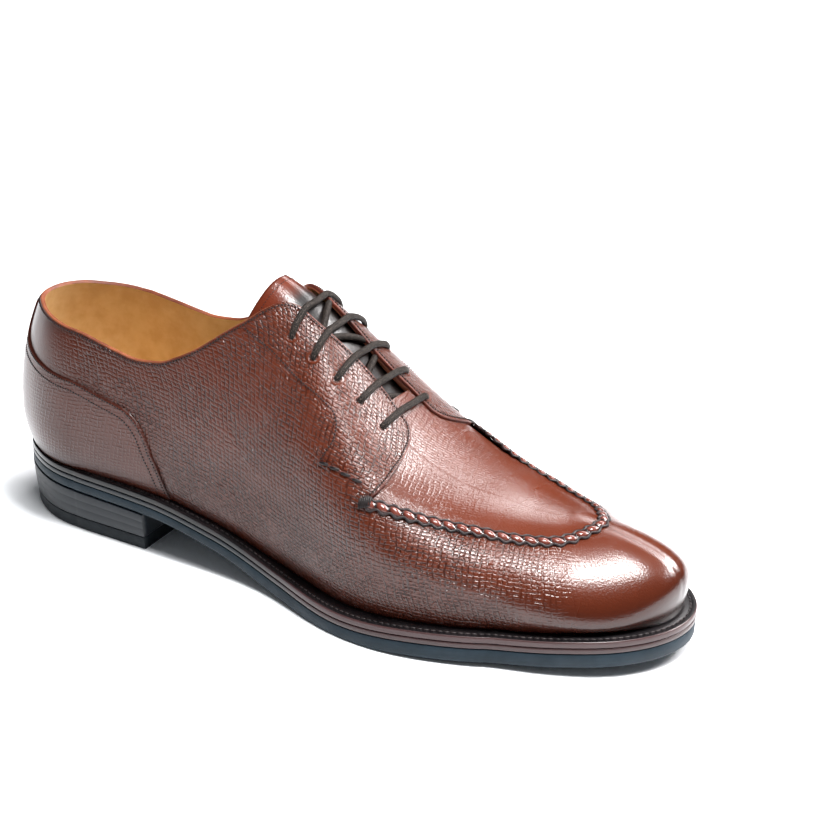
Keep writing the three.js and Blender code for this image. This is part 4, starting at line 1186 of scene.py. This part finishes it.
def heel_rings(specs):
    """Rings of the heel behind its breast: each has an offset, a height and the breast's setback."""
    made = []
    base = ring(0, below(0))
    keep = np.abs(edge_s) < 4
    keep &= local_x(base) <= HEEL_LENGTH
    for out, height in specs:
        points = ring(out, height)[keep]
        first = points[0].copy()
        final = points[-1].copy()
        first[0] = final[0] = HEEL_LENGTH + LAST_ORIGIN[0]
        t = np.linspace(0, 1, 15)
        breast = final[None, :] * (1 - t)[:, None] + first[None, :] * t[:, None]
        breast[:, 0] -= 0.9 * np.sin(math.pi * t) ** 0.7
        loop = np.concatenate((points, breast))
        loop[:, 2] = height(local_x(loop))
        made.append(loop)
    return made


def add_loops(piece, loops, material):
    points = np.array(loops)
    uv = points[..., :2]
    piece.grid(points, material, uv, ring=True)


def close_loop(piece, loop, height, material):
    centre = loop.mean(0)
    t = np.linspace(1, 0.02, 8)
    points = centre[None, None, :] + (loop - centre)[None, :, :] * t[:, None, None]
    points[..., 2] = height(local_x(points))
    piece.grid(points, material, points[..., :2], ring=True)


def flat(height):
    return lambda x: np.full(np.shape(x), height)


def between(share, drop=0.0):
    """Height at a share of the heel stack, from its foot at the top lift to the outsole."""
    foot = TOP_LIFT_THICK + SEAM
    return lambda x: foot + (feather_height(x) - outsole_depth(x) - SEAM - foot) * share - drop


def make_heel():
    piece = Piece("heel_lifts")
    specs = [(-0.6, between(1.0, -0.1)), (-0.12, between(1.0)), (0.0, between(1.0, 0.25))]
    for share in (0.68, 0.36):
        out = -HEEL_TAPER * 0.65 * (1 - share)
        specs += [(out, between(share, -0.1)), (out - 0.04, between(share)), (out, between(share, 0.1))]
    specs += [(-HEEL_TAPER * 0.65, between(0.0, -0.2)), (-HEEL_TAPER * 0.65 - 0.15, between(0.0)),
              (-HEEL_TAPER - 0.8, between(0.0, 0.1))]
    add_loops(piece, heel_rings(specs), heel_leather)
    piece.make("heel_leather", "heel_stack")
    lift = Piece("heel_tip")
    specs = [(-HEEL_TAPER - 0.8, flat(TOP_LIFT_THICK + 0.1)),
             (-HEEL_TAPER * 0.7 - 0.1, flat(TOP_LIFT_THICK)),
             (-HEEL_TAPER * 0.7, flat(TOP_LIFT_THICK - 0.2)), (-HEEL_TAPER * 0.95, flat(0.8)),
             (-HEEL_TAPER - 0.15, flat(0.25)), (-HEEL_TAPER - 0.6, flat(0.0))]
    loops = heel_rings(specs)
    add_loops(lift, loops, lift_rubber)
    close_loop(lift, loops[-1], flat(0.0), lift_rubber)
    lift.make("lift_rubber", "top_lift")


def make_insole():
    piece = Piece("insole_sock")
    out = -UPPER_WALL - SEAM
    rim = INSOLE_THICK + SEAM
    rings = [ring(out - 4, below(-SEAM), True), ring(out, below(-SEAM - 0.3), True),
             ring(out, below(-rim + 0.4), True), ring(out - 0.5, below(-rim), True)]
    add_rings(piece, rings, insole_leather, flip=True)
    add_cap(piece, ring(out - 0.5, below(-rim), True), insole_leather, below(-rim), True)
    return piece.make("insole_leather", "insole")


make_skin()
make_plug()
make_edges()
make_lining()
make_counter()
make_apron_seam()
make_corner_knots()
make_seams()
make_hand_rows()
make_rims()
make_tongue()
make_laces()
make_welt()
make_midsole()
make_outsole()
make_heel()
make_insole()

def make_camera():
    a = math.radians(CAMERA["azimuth"])
    e = math.radians(CAMERA["elevation"])
    roll = math.radians(CAMERA["roll"])
    back = np.array((math.sin(a) * math.cos(e), -math.cos(a) * math.cos(e), math.sin(e)))
    right = np.array((math.cos(a), math.sin(a), 0.0))
    up = np.cross(back, right)
    right_r = math.cos(roll) * right + math.sin(roll) * up
    up_r = -math.sin(roll) * right + math.cos(roll) * up
    at = AIM + CAMERA["distance"] * back + CAMERA["aside"] * right_r + CAMERA["above"] * up_r
    data = bpy.data.cameras.new("camera")
    data.sensor_width = CAMERA["sensor"]
    data.lens = CAMERA["focal_px"] / CAMERA["frame_px"] * CAMERA["sensor"]
    data.clip_start = 0.01
    obj = bpy.data.objects.new("camera", data)
    columns = np.stack((right_r, up_r, back, at * MM), -1)
    obj.matrix_world = Matrix([list(line) for line in columns] + [[0, 0, 0, 1]])
    bpy.context.scene.collection.objects.link(obj)
    bpy.context.scene.camera = obj


def make_light(name, at, aim, size, power, color):
    data = bpy.data.lights.new(name, "AREA")
    data.shape = "RECTANGLE"
    data.size = size[0]
    data.size_y = size[1]
    data.energy = power
    data.color = color
    obj = bpy.data.objects.new(name, data)
    at = np.array(at, float)
    back = unit(at - np.array(aim, float))
    right = unit(np.cross((0.0, 0.0, 1.0), back) + np.array((1e-6, 0, 0)))
    up = np.cross(back, right)
    columns = np.stack((right, up, back, at), -1)
    obj.matrix_world = Matrix([list(line) for line in columns] + [[0, 0, 0, 1]])
    bpy.context.scene.collection.objects.link(obj)


def make_sun(name, toward, strength, spread):
    """A far lamp as wide as a big softbox."""
    data = bpy.data.lights.new(name, "SUN")
    data.energy = strength
    data.angle = math.radians(spread)
    obj = bpy.data.objects.new(name, data)
    obj.rotation_euler = Vector(toward).to_track_quat("Z", "Y").to_euler()
    obj.visible_glossy = False
    bpy.context.scene.collection.objects.link(obj)


def make_stage():
    mesh = bpy.data.meshes.new("floor")
    corners = [(x * FLOOR_HALF, y * FLOOR_HALF, 0) for x, y in ((-1, -1), (1, -1), (1, 1), (-1, 1))]
    mesh.from_pydata(corners, [], [(0, 1, 2, 3)])
    floor = bpy.data.objects.new("floor", mesh)
    bpy.context.scene.collection.objects.link(floor)
    sh = Shader("floor_white")
    mesh.materials.append(sh.finish(shade(243, 245, 247), 0.6, specular=0.2))
    world = bpy.data.worlds.new("studio")
    world.use_nodes = True
    sky = world.node_tree.nodes["Background"]
    sky.inputs["Color"].default_value = SKY_COLOR
    sky.inputs["Strength"].default_value = SKY_STRENGTH
    world.cycles_visibility.glossy = False
    bpy.context.scene.world = world
    make_sun("overhead", SUN_TOWARD, SUN_STRENGTH, SUN_SPREAD)
    for box in BOXES:
        make_light(*box)
    bpy.context.scene.view_settings.view_transform = "Standard"


make_camera()
make_stage()
